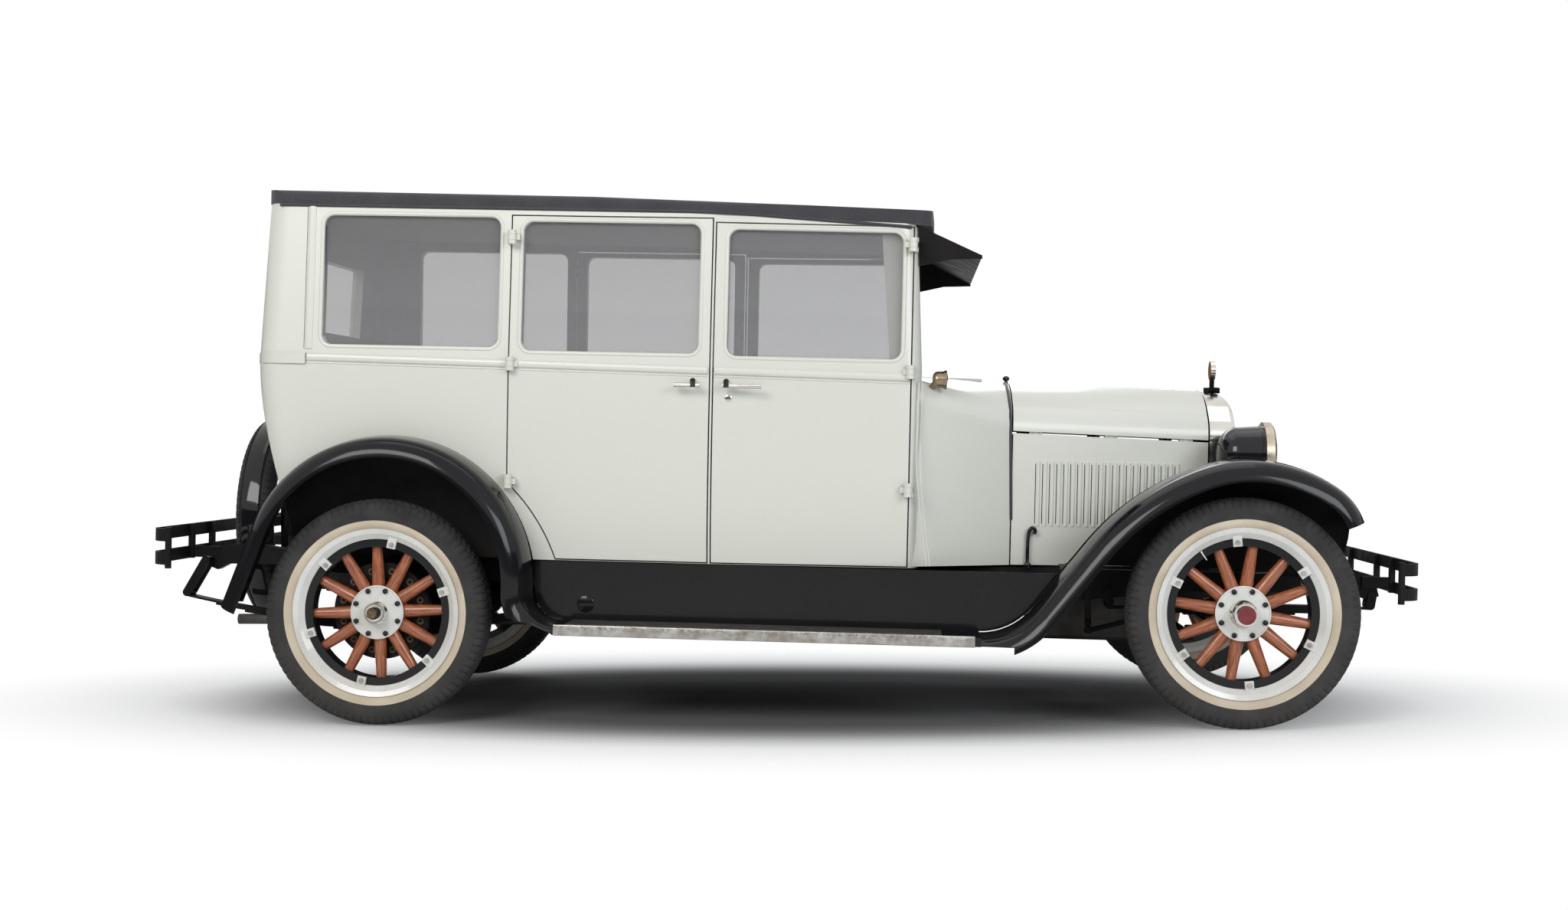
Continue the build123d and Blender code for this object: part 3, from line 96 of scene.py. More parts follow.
class Finish:
    """One material; fixed holds the numbers that are the same all over it."""

    def __init__(self, name, fixed=None):
        self.mat = bpy.data.materials.new(name)
        self.mat.use_nodes = True
        self.tree = self.mat.node_tree
        self.shader = self.tree.nodes["Principled BSDF"]
        for key, value in (fixed or {}).items():
            self.shader.inputs[key].default_value = value

    def node(self, kind, settings=None, sockets=None, out=0):
        node = self.tree.nodes.new("ShaderNode" + kind)
        for key, value in (settings or {}).items():
            if key == "stops":
                marks = node.color_ramp.elements
                while len(marks) < len(value):
                    marks.new(0.5)
                for mark, (place, tone) in zip(marks, value):
                    mark.position = place
                    mark.color = (*tone, 1) if isinstance(tone, tuple) else (tone, tone, tone, 1)
            else:
                setattr(node, key, value)
        for key, value in (sockets or {}).items():
            if isinstance(value, Value):
                self.tree.links.new(value.socket, node.inputs[key])
            else:
                node.inputs[key].default_value = value
        return Value(self, node.outputs[out])

    def feed(self, key, value):
        self.tree.links.new(value.socket, self.shader.inputs[key])

    def place(self, stretch=(1, 1, 1)):
        return self.node("Mapping", None, {"Vector": self.node("TexCoord", out="Object"), "Scale": stretch})

    def noise(self, scale, detail=5, stretch=(1, 1, 1)):
        sockets = {"Vector": self.place(stretch), "Scale": scale, "Detail": detail}
        return self.node("TexNoise", None, sockets, "Fac")

    def cells(self, pitch, stretch=(1, 1, 1)):
        return self.node("TexVoronoi", None, {"Vector": self.place(stretch), "Scale": 1 / pitch}, "Distance")

    def ramp(self, value, *stops):
        return self.node("ValToRGB", {"stops": stops}, {"Fac": value})

    def mix(self, share, a, b):
        a, b = ((*v, 1) if isinstance(v, tuple) else v for v in (a, b))
        return self.node("Mix", {"data_type": "RGBA"}, {0: share, 6: a, 7: b}, 2)

    def split(self):
        node = self.tree.nodes.new("ShaderNodeSeparateXYZ")
        self.tree.links.new(self.node("TexCoord", out="Object").socket, node.inputs[0])
        return [Value(self, node.outputs[k]) for k in range(3)]

    def height(self, low, high):
        return self.node("MapRange", None, {"Value": self.split()[2], "From Min": low, "From Max": high})

    def bump(self, value, depth, strength=0.6):
        sockets = {"Strength": strength, "Distance": depth, "Height": value}
        self.feed("Normal", self.node("Bump", None, sockets))


def enamel(name, light, dark, rough, scale=2.0, metal=0.0, coat=0.0, grain=(90, 0.0002), dust=None, spec=0.5,
           stretch=(1, 1, 1), coat_rough=0.04):
    """A paint, metal or rubber whose tone and gloss drift a little, with a fine grain and dust low down."""
    paint = Finish(name, {"Metallic": metal, "Coat Weight": coat, "Coat Roughness": coat_rough,
                          "Specular IOR Level": spec})
    tone = paint.ramp(paint.noise(scale, 6, stretch), (0.32, dark), (0.66, light))
    if dust:
        low = paint.ramp(paint.height(0.15, 0.75), (0.0, 0.5), (1.0, 0.0))
        tone = paint.mix(paint.noise(5, 8) * low, tone, dust)
    paint.feed("Base Color", tone)
    paint.feed("Roughness", paint.ramp(paint.noise(scale * 3.1, 7), (0.3, rough[0]), (0.7, rough[1])))
    paint.bump(paint.noise(grain[0], 3, stretch), grain[1])
    return paint.mat


def hickory(name, hub_x):
    """Varnished spokes whose grain runs out from the hub."""
    wood = Finish(name, {"Coat Weight": 0.35, "Coat Roughness": 0.05})
    x, y, z = wood.split()
    dx, dz = x - hub_x, z - HUB_Z
    around = wood.node("Math", {"operation": "ARCTAN2"}, {0: dz, 1: dx})
    polar = wood.node("CombineXYZ", None, {0: around * 26, 1: (dx * dx + dz * dz) ** 0.5 * 9, 2: y * 160})
    grain = wood.node("TexNoise", None, {"Vector": polar, "Scale": 1.6, "Detail": 9}, "Fac")
    wood.feed("Base Color", wood.ramp(grain, (0.28, (0.105, 0.028, 0.012)), (0.5, (0.30, 0.085, 0.032)),
                                      (0.72, (0.44, 0.16, 0.07))))
    wood.feed("Roughness", wood.ramp(grain, (0.3, 0.42), (0.7, 0.27)))
    wood.bump(grain, 0.0012, 0.5)
    return wood.mat


def cloth(name, light, dark, pitch, depth, rough=0.85, sheen=0.2, stretch=(1, 1, 1)):
    """A grained or woven cloth or hide, its cells about one pitch across."""
    stuff = Finish(name, {"Sheen Weight": sheen})
    cells = stuff.cells(pitch, stretch)
    stuff.feed("Base Color", stuff.mix(stuff.noise(3, 6), stuff.ramp(cells, (0.1, light), (0.7, dark)), dark))
    stuff.feed("Roughness", stuff.ramp(stuff.noise(9, 5), (0.3, rough - 0.12), (0.7, rough)))
    stuff.bump(cells, depth, 0.7)
    return stuff.mat


def glass(name, tint, alpha):
    """Thin glass, mostly see-through, with faint streaks in its polish and a darker top."""
    pane = Finish(name, {"Alpha": alpha, "IOR": 1.45})
    pane.feed("Roughness", pane.ramp(pane.noise(4, 6, (1, 1, 0.35)), (0.3, 0.01), (0.7, 0.05)))
    pane.feed("Base Color", pane.mix(pane.height(1.24, 1.74), tint, tuple(v * 0.7 for v in tint)))
    return pane.mat


def ribbed_board(name):
    """Rubber matting on the running boards, its ribs lengthwise."""
    mat = Finish(name, {"Specular IOR Level": 0.3})
    mat.feed("Base Color", mat.ramp(mat.noise(14, 6), (0.3, (0.020, 0.019, 0.018)),
                                    (0.7, (0.040, 0.037, 0.034))))
    mat.feed("Roughness", mat.ramp(mat.noise(30, 4), (0.3, 0.55), (0.7, 0.8)))
    mat.bump(mat.noise(260, 3), 0.0003)
    return mat.mat


CREAM = (0.640, 0.648, 0.590)
MATS = {
    "body_paint": enamel("body_paint", CREAM, (0.622, 0.628, 0.570), (0.34, 0.40), 0.5, coat=0.25,
                         grain=(30, 0.00002), dust=(0.50, 0.48, 0.42), coat_rough=0.12),
    "black_enamel": enamel("black_enamel", (0.006, 0.0065, 0.008), (0.009, 0.009, 0.010), (0.10, 0.18), 1.5,
                           coat=0.18, grain=(40, 0.0001), dust=(0.026, 0.024, 0.022), spec=0.16),
    "chassis_black": enamel("chassis_black", (0.008, 0.008, 0.009), (0.015, 0.013, 0.012), (0.38, 0.6), 6,
                            grain=(160, 0.0004), dust=(0.026, 0.023, 0.021), spec=0.08),
    "iron_grey": enamel("iron_grey", (0.10, 0.10, 0.10), (0.055, 0.045, 0.038), (0.5, 0.8), 7, metal=0.4,
                        grain=(260, 0.0006), dust=(0.12, 0.10, 0.08)),
    "nickel": enamel("nickel", (0.72, 0.70, 0.66), (0.60, 0.57, 0.52), (0.08, 0.22), 5, metal=1.0,
                     grain=(120, 0.0001)),
    "lamp_black": enamel("lamp_black", (0.006, 0.007, 0.009), (0.010, 0.010, 0.012), (0.07, 0.14), 3,
                         coat=0.35, grain=(70, 0.00008), spec=0.2),
    "bronze": enamel("bronze", (0.34, 0.27, 0.18), (0.18, 0.14, 0.09), (0.2, 0.42), 14, metal=0.9,
                     grain=(200, 0.0003)),
    "roof_fabric": cloth("roof_fabric", (0.052, 0.050, 0.058), (0.026, 0.025, 0.031), 0.0042, 0.0009),
    "window_glass": glass("window_glass", (0.425, 0.425, 0.435), 0.30),
    "rim_white": enamel("rim_white", (0.70, 0.71, 0.70), (0.60, 0.60, 0.57), (0.2, 0.34), 7, coat=0.4,
                        grain=(90, 0.00015), dust=(0.42, 0.37, 0.30)),
    "seat_leather": cloth("seat_leather", (0.060, 0.040, 0.030), (0.030, 0.020, 0.016), 0.006, 0.0005, 0.5,
                          0.0),
    "floor_boards": enamel("floor_boards", (0.085, 0.062, 0.048), (0.045, 0.034, 0.028), (0.6, 0.85), 5,
                           stretch=(1, 9, 1), grain=(40, 0.0006)),
    "wheel_rim_black": enamel("wheel_rim_black", (0.014, 0.012, 0.011), (0.022, 0.018, 0.015), (0.14, 0.3), 9,
                              coat=0.4, grain=(120, 0.0002)),
    "tyre": enamel("tyre", (0.038, 0.038, 0.039), (0.022, 0.022, 0.023), (0.68, 0.9), 12, spec=0.25,
                   grain=(420, 0.0005), dust=(0.075, 0.068, 0.060)),
    "whitewall": enamel("whitewall", (0.640, 0.565, 0.450), (0.520, 0.440, 0.330), (0.6, 0.85), 8, spec=0.3,
                        grain=(300, 0.0003), dust=(0.30, 0.24, 0.17)),
    "wood_front": hickory("wood_front", AXLE_FRONT),
    "wood_rear": hickory("wood_rear", AXLE_REAR),
    "trim_cloth": cloth("trim_cloth", (0.085, 0.083, 0.082), (0.055, 0.053, 0.052), 0.0022, 0.0004),
    "headliner": cloth("headliner", (0.15, 0.145, 0.14), (0.10, 0.097, 0.092), 0.003, 0.0003),
    "red_disc": enamel("red_disc", (0.19, 0.010, 0.018), (0.11, 0.006, 0.010), (0.25, 0.5), 40, coat=0.3,
                       grain=(300, 0.0004)),
    "bright_steel": enamel("bright_steel", (0.50, 0.49, 0.47), (0.30, 0.27, 0.24), (0.25, 0.5), 30, metal=0.9,
                           grain=(300, 0.0002)),
    "rusty": enamel("rusty", (0.16, 0.115, 0.07), (0.06, 0.035, 0.02), (0.5, 0.8), 60, metal=0.5,
                    grain=(500, 0.0006)),
    "pale_rim": enamel("pale_rim", (0.56, 0.49, 0.40), (0.44, 0.37, 0.29), (0.22, 0.40), 14, metal=0.85,
                       grain=(160, 0.0002)),
    "amber": enamel("amber", (0.45, 0.22, 0.05), (0.30, 0.13, 0.03), (0.15, 0.3), 60, coat=0.6,
                    grain=(300, 0.0001)),
    "piping": cloth("piping", (0.040, 0.039, 0.044), (0.022, 0.021, 0.026), 0.002, 0.0003, 0.7),
    "seam_grey": enamel("seam_grey", (0.10, 0.10, 0.095), (0.16, 0.155, 0.14), (0.5, 0.7), 20,
                        grain=(200, 0.0002)),
    "lens": glass("lens", (0.75, 0.77, 0.78), 0.35),
    "reflector": enamel("reflector", (0.80, 0.80, 0.78), (0.70, 0.69, 0.66), (0.05, 0.12), 10, metal=1.0,
                        grain=(60, 0.0001)),
    "plate_blank": enamel("plate_blank", (0.028, 0.028, 0.030), (0.020, 0.020, 0.022), (0.3, 0.5), 12,
                          coat=0.2, grain=(200, 0.0002)),
    "honeycomb": cloth("honeycomb", (0.060, 0.058, 0.055), (0.006, 0.006, 0.006), 0.009, 0.004, 0.6, 0.0,
                       (0.01, 1, 1)),
    "tread_mat": ribbed_board("tread_mat"),
}
MATS["spoke_wood"] = MATS["wood_rear"]


# CAD nodes keep their shape and take the finishes above, face by face where one node shows several

WHEEL_FINISHES = ("rim_white", "black_enamel", "wood_{}", "bright_steel", "nickel", "red_disc",
                  "chassis_black")
RIM, FELLOE, SPOKE, LUG, HUB, DISC, DRUM = range(len(WHEEL_FINISHES))
PAINT, LINING, BLACK = range(3)
HANDLE = 2


def paint(name, keys, rule):
    if name not in NODES:
        return
    mesh = NODES[name].data
    mesh.materials.clear()
    for key in keys:
        mesh.materials.append(MATS[key])
    for face in mesh.polygons:
        face.material_index = rule(face.center, face.normal)


def wheel_rule(hub_x, sign, front):
    """A wheel's finish by the radius of a face and how far out it lies."""
    def rule(c, n):
        r = math.hypot(c.x - hub_x, c.z - HUB_Z)
        out = sign * c.y - HUB_Y
        if not front and out < -0.0295 and r > 0.04:
            return DRUM if r < 0.2 else (FELLOE if r < RIM_IN_R - 0.0005 else RIM)
        if out > 0.0305 and 0.225 < r < 0.268:
            return LUG if out > 0.0425 and 0.2315 < r < 0.2485 else RIM
        if r > RIM_IN_R - 0.0008:
            return RIM
        if r > FELLOE_IN_R - 0.0008:
            return FELLOE
        if r > 0.0925:
            return SPOKE
        if out > 0.034:
            return DISC if front and out > 0.1 and n.y * sign > 0.7 else HUB
        return RIM
    return rule


def door_rule(sign):
    """Paint outside, cloth inside and a plated handle."""
    def rule(c, n):
        shell = 0.648 - 0.05 * min(max((c.x + 0.25) / 0.7, 0), 1)
        if abs(c.y) > shell + 0.052 and 1.12 < c.z < 1.22 and -0.45 < c.x < -0.05:
            return HANDLE
        return LINING if n.y * sign < -0.5 and abs(c.y) < shell + 0.02 else PAINT
    return rule


def shell_rule(c, n):
    """Cloth inside the coach, black in the rear wheelhouses, paint outside."""
    to_hub = Vector((AXLE_REAR - c.x, 0, HUB_Z - c.z))
    near_hub = to_hub.length < 0.60 and abs(c.y) < 0.648
    inner_wall = abs(c.y) < 0.603 < abs(c.y) + 0.004
    if near_hub and (inner_wall or n.dot(to_hub.normalized()) > 0.3):
        return BLACK
    if c.z < 0.62 or c.x > 0.52:
        return PAINT
    inward = Vector((-0.6 - c.x, -c.y, 0)).normalized()
    inside = abs(c.y) < 0.655 and -1.80 < c.x < 0.455
    return LINING if inside and n.dot(inward) > 0.35 else PAINT


def hood_rule(c, n):
    """Black on the hood's inward faces below its top."""
    return 1 if c.z < 1.16 and n.y * (1 if c.y > 0 else -1) < -0.25 else 0


def lamp_rule(c, n):
    """A plated rim and bright bowl on the black headlamps."""
    r = math.hypot(abs(c.y) - LAMP_Y / 1000, c.z - 0.9185)
    if c.z > 0.75 and r > 0.104:
        return 1
    return 2 if c.z > 0.75 and n.x > 0.5 and c.x > 1.6 else 0


def cap_rule(c, n):
    """A black cap under a plated gauge ring with an amber glass."""
    if c.z < at(2930, 0, 1266).z:
        return 0
    return 2 if abs(n.x) > 0.7 and math.hypot(c.y, c.z - at(2930, 0, 1306).z) < 0.0345 else 1


def paint_nodes():
    for part in frame["record"]["subparts"]:
        mesh = NODES[part["node"]].data
        mesh.materials.clear()
        mesh.materials.append(MATS[part["material_slot"]])
    for end, hub_x in ENDS:
        for side, sign in SIDES:
            keys = [key.format(end) for key in WHEEL_FINISHES]
            paint(f"wheel_{end}_{side}", keys, wheel_rule(hub_x, sign, end == "front"))
            paint(f"door_{end}_{side}", ("body_paint", "trim_cloth", "nickel"), door_rule(sign))
    for side, _ in SIDES:
        paint(f"body_side_{side}", ("body_paint", "trim_cloth", "chassis_black"), shell_rule)
        paint(f"hood_side_{side}", ("body_paint", "chassis_black"), hood_rule)
        paint(f"hood_top_{side}", ("body_paint", "chassis_black"), hood_rule)
    for name in ("body_rear", "windshield_frame", "cowl"):
        paint(name, ("body_paint", "trim_cloth", "chassis_black"), shell_rule)
    paint("roof_cover", ("roof_fabric", "headliner"), lambda c, n: 1 if n.z < -0.6 else 0)
    paint("headlamps", ("lamp_black", "pale_rim", "reflector"), lamp_rule)
    paint("cowl_lamps", ("bronze", "reflector"), lambda c, n: 1 if n.x > 0.5 else 0)
    paint("radiator_cap", ("lamp_black", "nickel", "amber"), cap_rule)
    paint("visor", ("chassis_black",), lambda c, n: 0)
    paint("radiator_core", ("honeycomb",), lambda c, n: 0)


# Modelling, as by hand: a primitive is shaped in edit mode, finished and joined to its piece

def pick(*objs):
    """Only these objects are selected, the first one active, out of edit mode."""
    if bpy.context.mode != "OBJECT":
        bpy.ops.object.mode_set(mode="OBJECT")
    bpy.ops.object.select_all(action="DESELECT")
    for obj in objs:
        obj.select_set(True)
    if objs:
        bpy.context.view_layer.objects.active = objs[0]


def edit(mode="FACE"):
    bpy.ops.object.mode_set(mode="EDIT")
    bpy.ops.mesh.select_mode(type=mode)
    bpy.ops.mesh.select_all(action="SELECT")


def close_up(merge=False):
    """Leaves edit mode with the faces pointing outwards."""
    bpy.ops.mesh.select_all(action="SELECT")
    if merge:
        bpy.ops.mesh.remove_doubles(threshold=1e-6)
    bpy.ops.mesh.normals_make_consistent(inside=False)
    bpy.ops.object.mode_set(mode="OBJECT")


def toward(origin, axis):
    """The place and turn that set a part's own Z along an axis."""
    return Matrix.Translation(Vector(origin)) @ Vector(axis).to_track_quat("Z", "Y").to_matrix().to_4x4()


def shaped(count, points):
    """A disc of that many corners, each moved to its point."""
    pick()
    bpy.ops.mesh.primitive_circle_add(vertices=count, radius=1, fill_type="NGON")
    obj = bpy.context.object
    for vertex, point in zip(obj.data.vertices, points):
        vertex.co = point
    return obj


def turned(profile, around=40):
    """A round part drawn up from a disc: each further (along, radius) is an extrusion and a scaling."""
    pick()
    along, radius = profile[0]
    bpy.ops.mesh.primitive_circle_add(vertices=around, radius=radius, fill_type="NGON",
                                      location=(0, 0, along))
    edit()
    for step, wide in profile[1:]:
        bpy.ops.mesh.extrude_region_move(TRANSFORM_OT_translate={"value": (0, 0, step - along)})
        bpy.ops.transform.resize(value=(wide / radius, wide / radius, 1), center_override=(0, 0, step))
        along, radius = step, wide
    close_up()
    return bpy.context.object


def spun(section, steps=64):
    """A ring about Z from a closed section of (along, radius) points."""
    obj = shaped(len(section), [(radius, 0, along) for along, radius in section])
    edit()
    bpy.ops.mesh.delete(type="ONLY_FACE")
    bpy.ops.mesh.select_all(action="SELECT")
    bpy.ops.mesh.spin(steps=steps, angle=2 * math.pi, center=(0, 0, 0), axis=(0, 0, 1))
    close_up(True)
    return obj


def drawn(points, across, out):
    """A half-round strip whose oval section is pulled from point to point."""
    points = [Vector(p) for p in points]
    across, out = Vector(across), Vector(out)
    spots = [points[0] + across * math.cos(a) + out * math.sin(a)
             for a in (2 * math.pi * k / 14 for k in range(14))]
    obj = shaped(14, spots)
    edit()
    for here, there in zip(points, points[1:]):
        bpy.ops.mesh.extrude_region_move(TRANSFORM_OT_translate={"value": there - here})
    close_up()
    return obj


def bar(points, radius, cyclic=False, smooth=False, res=3):
    """A round bar, wire or bead along points, bent smoothly or in straight runs."""
    pick()
    data = bpy.data.curves.new("bar", "CURVE")
    data.dimensions = "3D"
    data.bevel_depth, data.bevel_resolution, data.use_fill_caps = radius, res, True
    line = data.splines.new("NURBS" if smooth else "POLY")
    line.points.add(len(points) - 1)
    for mark, point in zip(line.points, points):
        mark.co = (*point, 1)
    line.use_cyclic_u = cyclic
    if smooth:
        line.order_u, line.use_endpoint_u = 3, not cyclic
    obj = bpy.data.objects.new("bar", data)
    bpy.context.scene.collection.objects.link(obj)
    pick(obj)
    bpy.ops.object.convert(target="MESH")
    return bpy.context.object


def box(low, high, bevel=0.002, segments=2, level=False):
    """A rounded block between two corners, in metres or in the coachwork's level in millimetres."""
    pick()
    low, high = Vector(low), Vector(high)
    size, mid = high - low, (low + high) / 2
    bpy.ops.mesh.primitive_cube_add(size=1)
    obj = bpy.context.object
    obj.scale = size / 1000 if level else size
    bpy.ops.object.transform_apply(location=False, rotation=False, scale=True)
    soften(obj, bevel, segments)
    obj.matrix_world = Matrix.Translation(at(*mid)) @ Matrix.Rotation(RAKE, 4, "Y") if level \
        else Matrix.Translation(mid)
    return obj


def soften(obj, width, segments=2):
    pick(obj)
    edge = obj.modifiers.new("edge", "BEVEL")
    edge.width, edge.segments, edge.limit_method = width, segments, "ANGLE"
    bpy.ops.object.modifier_apply(modifier="edge")


def skin(rows, thick):
    """A sheet formed over rows of points and given a thickness."""
    pick()
    across, along = len(rows[0]), len(rows)
    bpy.ops.mesh.primitive_grid_add(x_subdivisions=across - 1, y_subdivisions=along - 1, size=1)
    obj = bpy.context.object
    for vertex, point in zip(obj.data.vertices, (p for row in rows for p in row)):
        vertex.co = point
    wall = obj.modifiers.new("wall", "SOLIDIFY")
    wall.thickness, wall.offset = thick, 0
    bpy.ops.object.modifier_apply(modifier="wall")
    edit()
    close_up()
    return obj


def copies(obj, places):
    """The part itself at the first place, and a copy with its own mesh at each further one."""
    made = [obj]
    for _ in places[1:]:
        new = obj.copy()
        new.data = obj.data.copy()
        bpy.context.scene.collection.objects.link(new)
        made.append(new)
    for part, place in zip(made, places):
        part.matrix_world = place
    return made


class Piece:
    """Parts that are joined under one name and ride on one body."""

    def __init__(self, name, body, mat_slot=None):
        self.name, self.body, self.mat_slot, self.parts = name, body, mat_slot, []

    def add(self, key, *parts, place=None):
        for part in parts:
            part.data.materials.clear()
            part.data.materials.append(MATS[key])
            if place is not None:
                part.matrix_world = place
            self.parts.append(part)
        return parts

    def done(self, degrees=36, replaces=()):
        pick(*self.parts)
        if len(self.parts) > 1:
            bpy.ops.object.join()
        obj = bpy.context.object
        bpy.ops.object.transform_apply(location=True, rotation=True, scale=True)
        bpy.ops.object.shade_smooth_by_angle(angle=math.radians(degrees))
        obj.name = obj.data.name = self.name
        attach(obj, self.body)
        if replaces:
            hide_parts(*replaces)
        return obj


def seat(node, start, way):
    """Where a line first meets a CAD node, with the surface's direction there."""
    hit, spot, normal, _ = NODES[node].ray_cast(Vector(start), Vector(way))
    return (spot, normal) if hit else (None, None)


def on_side(node, x, z, sign, spare):
    """A point on a node's outer side at a place in the coachwork's level, or the spare half width."""
    spot, _ = seat(node, at(x, sign * 1200, z), (0, -sign, 0))
    return spot if spot and abs(spot.y) > spare / 1000 - 0.03 else at(x, sign * spare, z)


# Tyres

HALF_SECTION = (
    (0.044, 0.2785, ""), (0.047, 0.2865, ""), (0.0525, 0.2920, ""), (0.0585, 0.2990, "white"),
    (0.0612, 0.3060, "white"), (0.0628, 0.3120, "white"), (0.0634, 0.3150, "white"), (0.0646, 0.3175, ""),
    (0.0655, 0.3240, "rib"), (0.0662, 0.3320, "rib"), (0.0665, 0.3400, "rib"), (0.0655, 0.3480, "rib"),
    (0.0635, 0.3560, ""), (0.0613, 0.3625, "lug"), (0.0590, 0.3700, "lug"), (0.0540, 0.3775, "lug"),
    (0.0475, 0.3830, "lug"), (0.0410, 0.3862, "lug"), (0.0385, 0.3815, ""), (0.0350, 0.3815, ""),
    (0.0325, 0.3878, "bar"), (0.0200, 0.3890, "bar"), (0.0178, 0.3845, ""), (0.0150, 0.3845, ""),
    (0.0128, 0.3897, "bar"), (0.0, 0.3899, "bar"),
)
TYRE_STEPS = 360


def tyre_form():
    """One tyre spun about its axle, then ribbed on its sides and cut into blocks on its tread."""
    section = [(w, r) for w, r, _ in HALF_SECTION] + [(-w, r) for w, r, _ in HALF_SECTION[-2::-1]]
    obj = spun(section, TYRE_STEPS)
    kinds = {(round(w, 4), round(r, 4)): kind for w, r, kind in HALF_SECTION}
    chosen = {"rib": [], "lug": [], "bar": []}
    for vertex in obj.data.vertices:
        x, y, z = vertex.co
        spot = (round(abs(z), 4), round(math.hypot(x, y), 4))
        step = round(math.atan2(y, x) / (2 * math.pi) * TYRE_STEPS) % TYRE_STEPS
        kind = kinds.get(spot, "")
        if (kind == "rib" and step % 2) or (kind == "lug" and step % 4 == 0) \
                or (kind == "bar" and step % 4 == (2 if abs(z) > 0.016 else 1)):
            chosen[kind].append(vertex.index)
    for kind, (wide, tall) in (("rib", (1, 0.985)), ("lug", (0.9918, 0.952)), ("bar", (0.991, 1))):
        pick(obj)
        edit("VERT")
        bpy.ops.mesh.select_all(action="DESELECT")
        bpy.ops.object.mode_set(mode="OBJECT")
        for index in chosen[kind]:
            obj.data.vertices[index].select = True
        bpy.ops.object.mode_set(mode="EDIT")
        bpy.ops.transform.resize(value=(wide, wide, tall), center_override=(0, 0, 0))
        bpy.ops.object.mode_set(mode="OBJECT")
    obj.data.materials.append(MATS["tyre"])
    obj.data.materials.append(MATS["whitewall"])
    for face in obj.data.polygons:
        r = math.hypot(face.center.x, face.center.y)
        face.material_index = 1 if r < 0.3168 and abs(face.center.z) > 0.045 else 0
    bpy.ops.object.shade_smooth_by_angle(angle=math.radians(30))
    return obj


def tyres():
    form = tyre_form()
    places = [(f"tyre_{end}_{side}", f"wheel_{end}_{side}", (x, sign * HUB_Y, HUB_Z), (0, 1, 0))
              for end, x in ENDS for side, sign in SIDES]
    places.append(("spare_tyre", "car", (SPARE_X, 0, SPARE_Z), (1, 0, 0)))
    turns = [toward(spot, axis) @ Matrix.Rotation(math.radians(7 * k), 4, "Z")
             for k, (_, _, spot, axis) in enumerate(places)]
    for (node, body, _, _), obj in zip(places, copies(form, turns)):
        piece = Piece(f"{node}_rubber", body, "tyre")
        piece.parts.append(obj)
        piece.done(30, (node,))


# Wheels

def hub_nut():
    """A six-sided nut with a domed end."""
    nut = turned([(0, 0.0095), (0.0063, 0.0095), (0.007, 0.0082)], 6)
    dome = turned([(0.007, 0.0068), (0.010, 0.0059), (0.0117, 0.0038), (0.0125, 0.0006)], 12)
    pick(nut, dome)
    bpy.ops.object.join()
    return bpy.context.object


def round_hub(count, first, radius, hub_x, y, way):
    """Places evenly round a hub, the first at that many degrees."""
    angles = [math.radians(first + 360 / count * k) for k in range(count)]
    return [toward((hub_x + radius * math.cos(a), y, HUB_Z + radius * math.sin(a)), way) for a in angles]


def wheel_details():
    for end, x in ENDS:
        for side, sign in SIDES:
            out = Vector((0, sign, 0))
            piece = Piece(f"hub_hardware_{end}_{side}", f"wheel_{end}_{side}")
            face = sign * (HUB_Y + 0.0322)
            spots = round_hub(8, 22.5, 0.0785, x, face, out)
            piece.add("black_enamel", *copies(hub_nut(), spots))
            rim = spun([(0, 0.0925), (0.0022, 0.0925), (0.003, 0.0895), (0.003, 0.0885), (0.0012, 0.0875),
                        (0, 0.0875)])
            piece.add("rim_white", rim, place=toward((x, face - sign * 0.001, HUB_Z), out))
            if end == "front":
                front_cap(piece, x, sign)
            else:
                rear_hub(piece, x, sign)
            piece.done(30)


def front_cap(piece, x, sign):
    """The screwed hub cap: its eight-sided barrel, rolled rim and red disc, and the tyre's valve."""
    base = toward((x, sign * (HUB_Y + 0.032), HUB_Z), (0, sign, 0))
    piece.add("nickel", turned([(0, 0.046), (0.008, 0.0455), (0.012, 0.041), (0.014, 0.039)], 48),
              turned([(0.014, 0.0392), (0.020, 0.0400), (0.046, 0.0400), (0.050, 0.0388)], 8),
              turned([(0.050, 0.0385), (0.060, 0.0370), (0.0665, 0.0345), (0.0705, 0.0325),
                      (0.0718, 0.0305)], 48),
              place=base)
    disc = turned([(0.0700, 0.0300), (0.0722, 0.0295), (0.0735, 0.0200), (0.0738, 0.0010)], 48)
    piece.add("red_disc", disc, place=base)
    a = math.radians(124)
    way = Vector((math.cos(a), 0, math.sin(a)))
    foot = Vector((x, sign * (HUB_Y + 0.045), HUB_Z)) + way * 0.252
    piece.add("nickel", turned([(0, 0.0045), (0.022, 0.0040), (0.024, 0.0030), (0.034, 0.0026)], 12),
              place=toward(foot, -way))


def rear_hub(piece, x, sign):
    """The bare rear hub, its cap missing: an open ring round the shaft's worn nut."""
    ring = spun([(-0.004, 0.0350), (0.0, 0.0352), (0.0020, 0.0340), (0.0020, 0.0290), (0.0004, 0.0285),
                 (-0.004, 0.0285)])
    piece.add("bright_steel", ring, place=toward((x, sign * (HUB_Y + 0.072), HUB_Z), (0, sign, 0)))
    nut = toward((x, sign * (HUB_Y + 0.0885), HUB_Z), (0, sign, 0))
    piece.add("rusty", turned([(0, 0.0205), (0.009, 0.0205), (0.012, 0.0180)], 6),
              turned([(0.012, 0.0115), (0.018, 0.0110), (0.0192, 0.0095)], 20), place=nut)


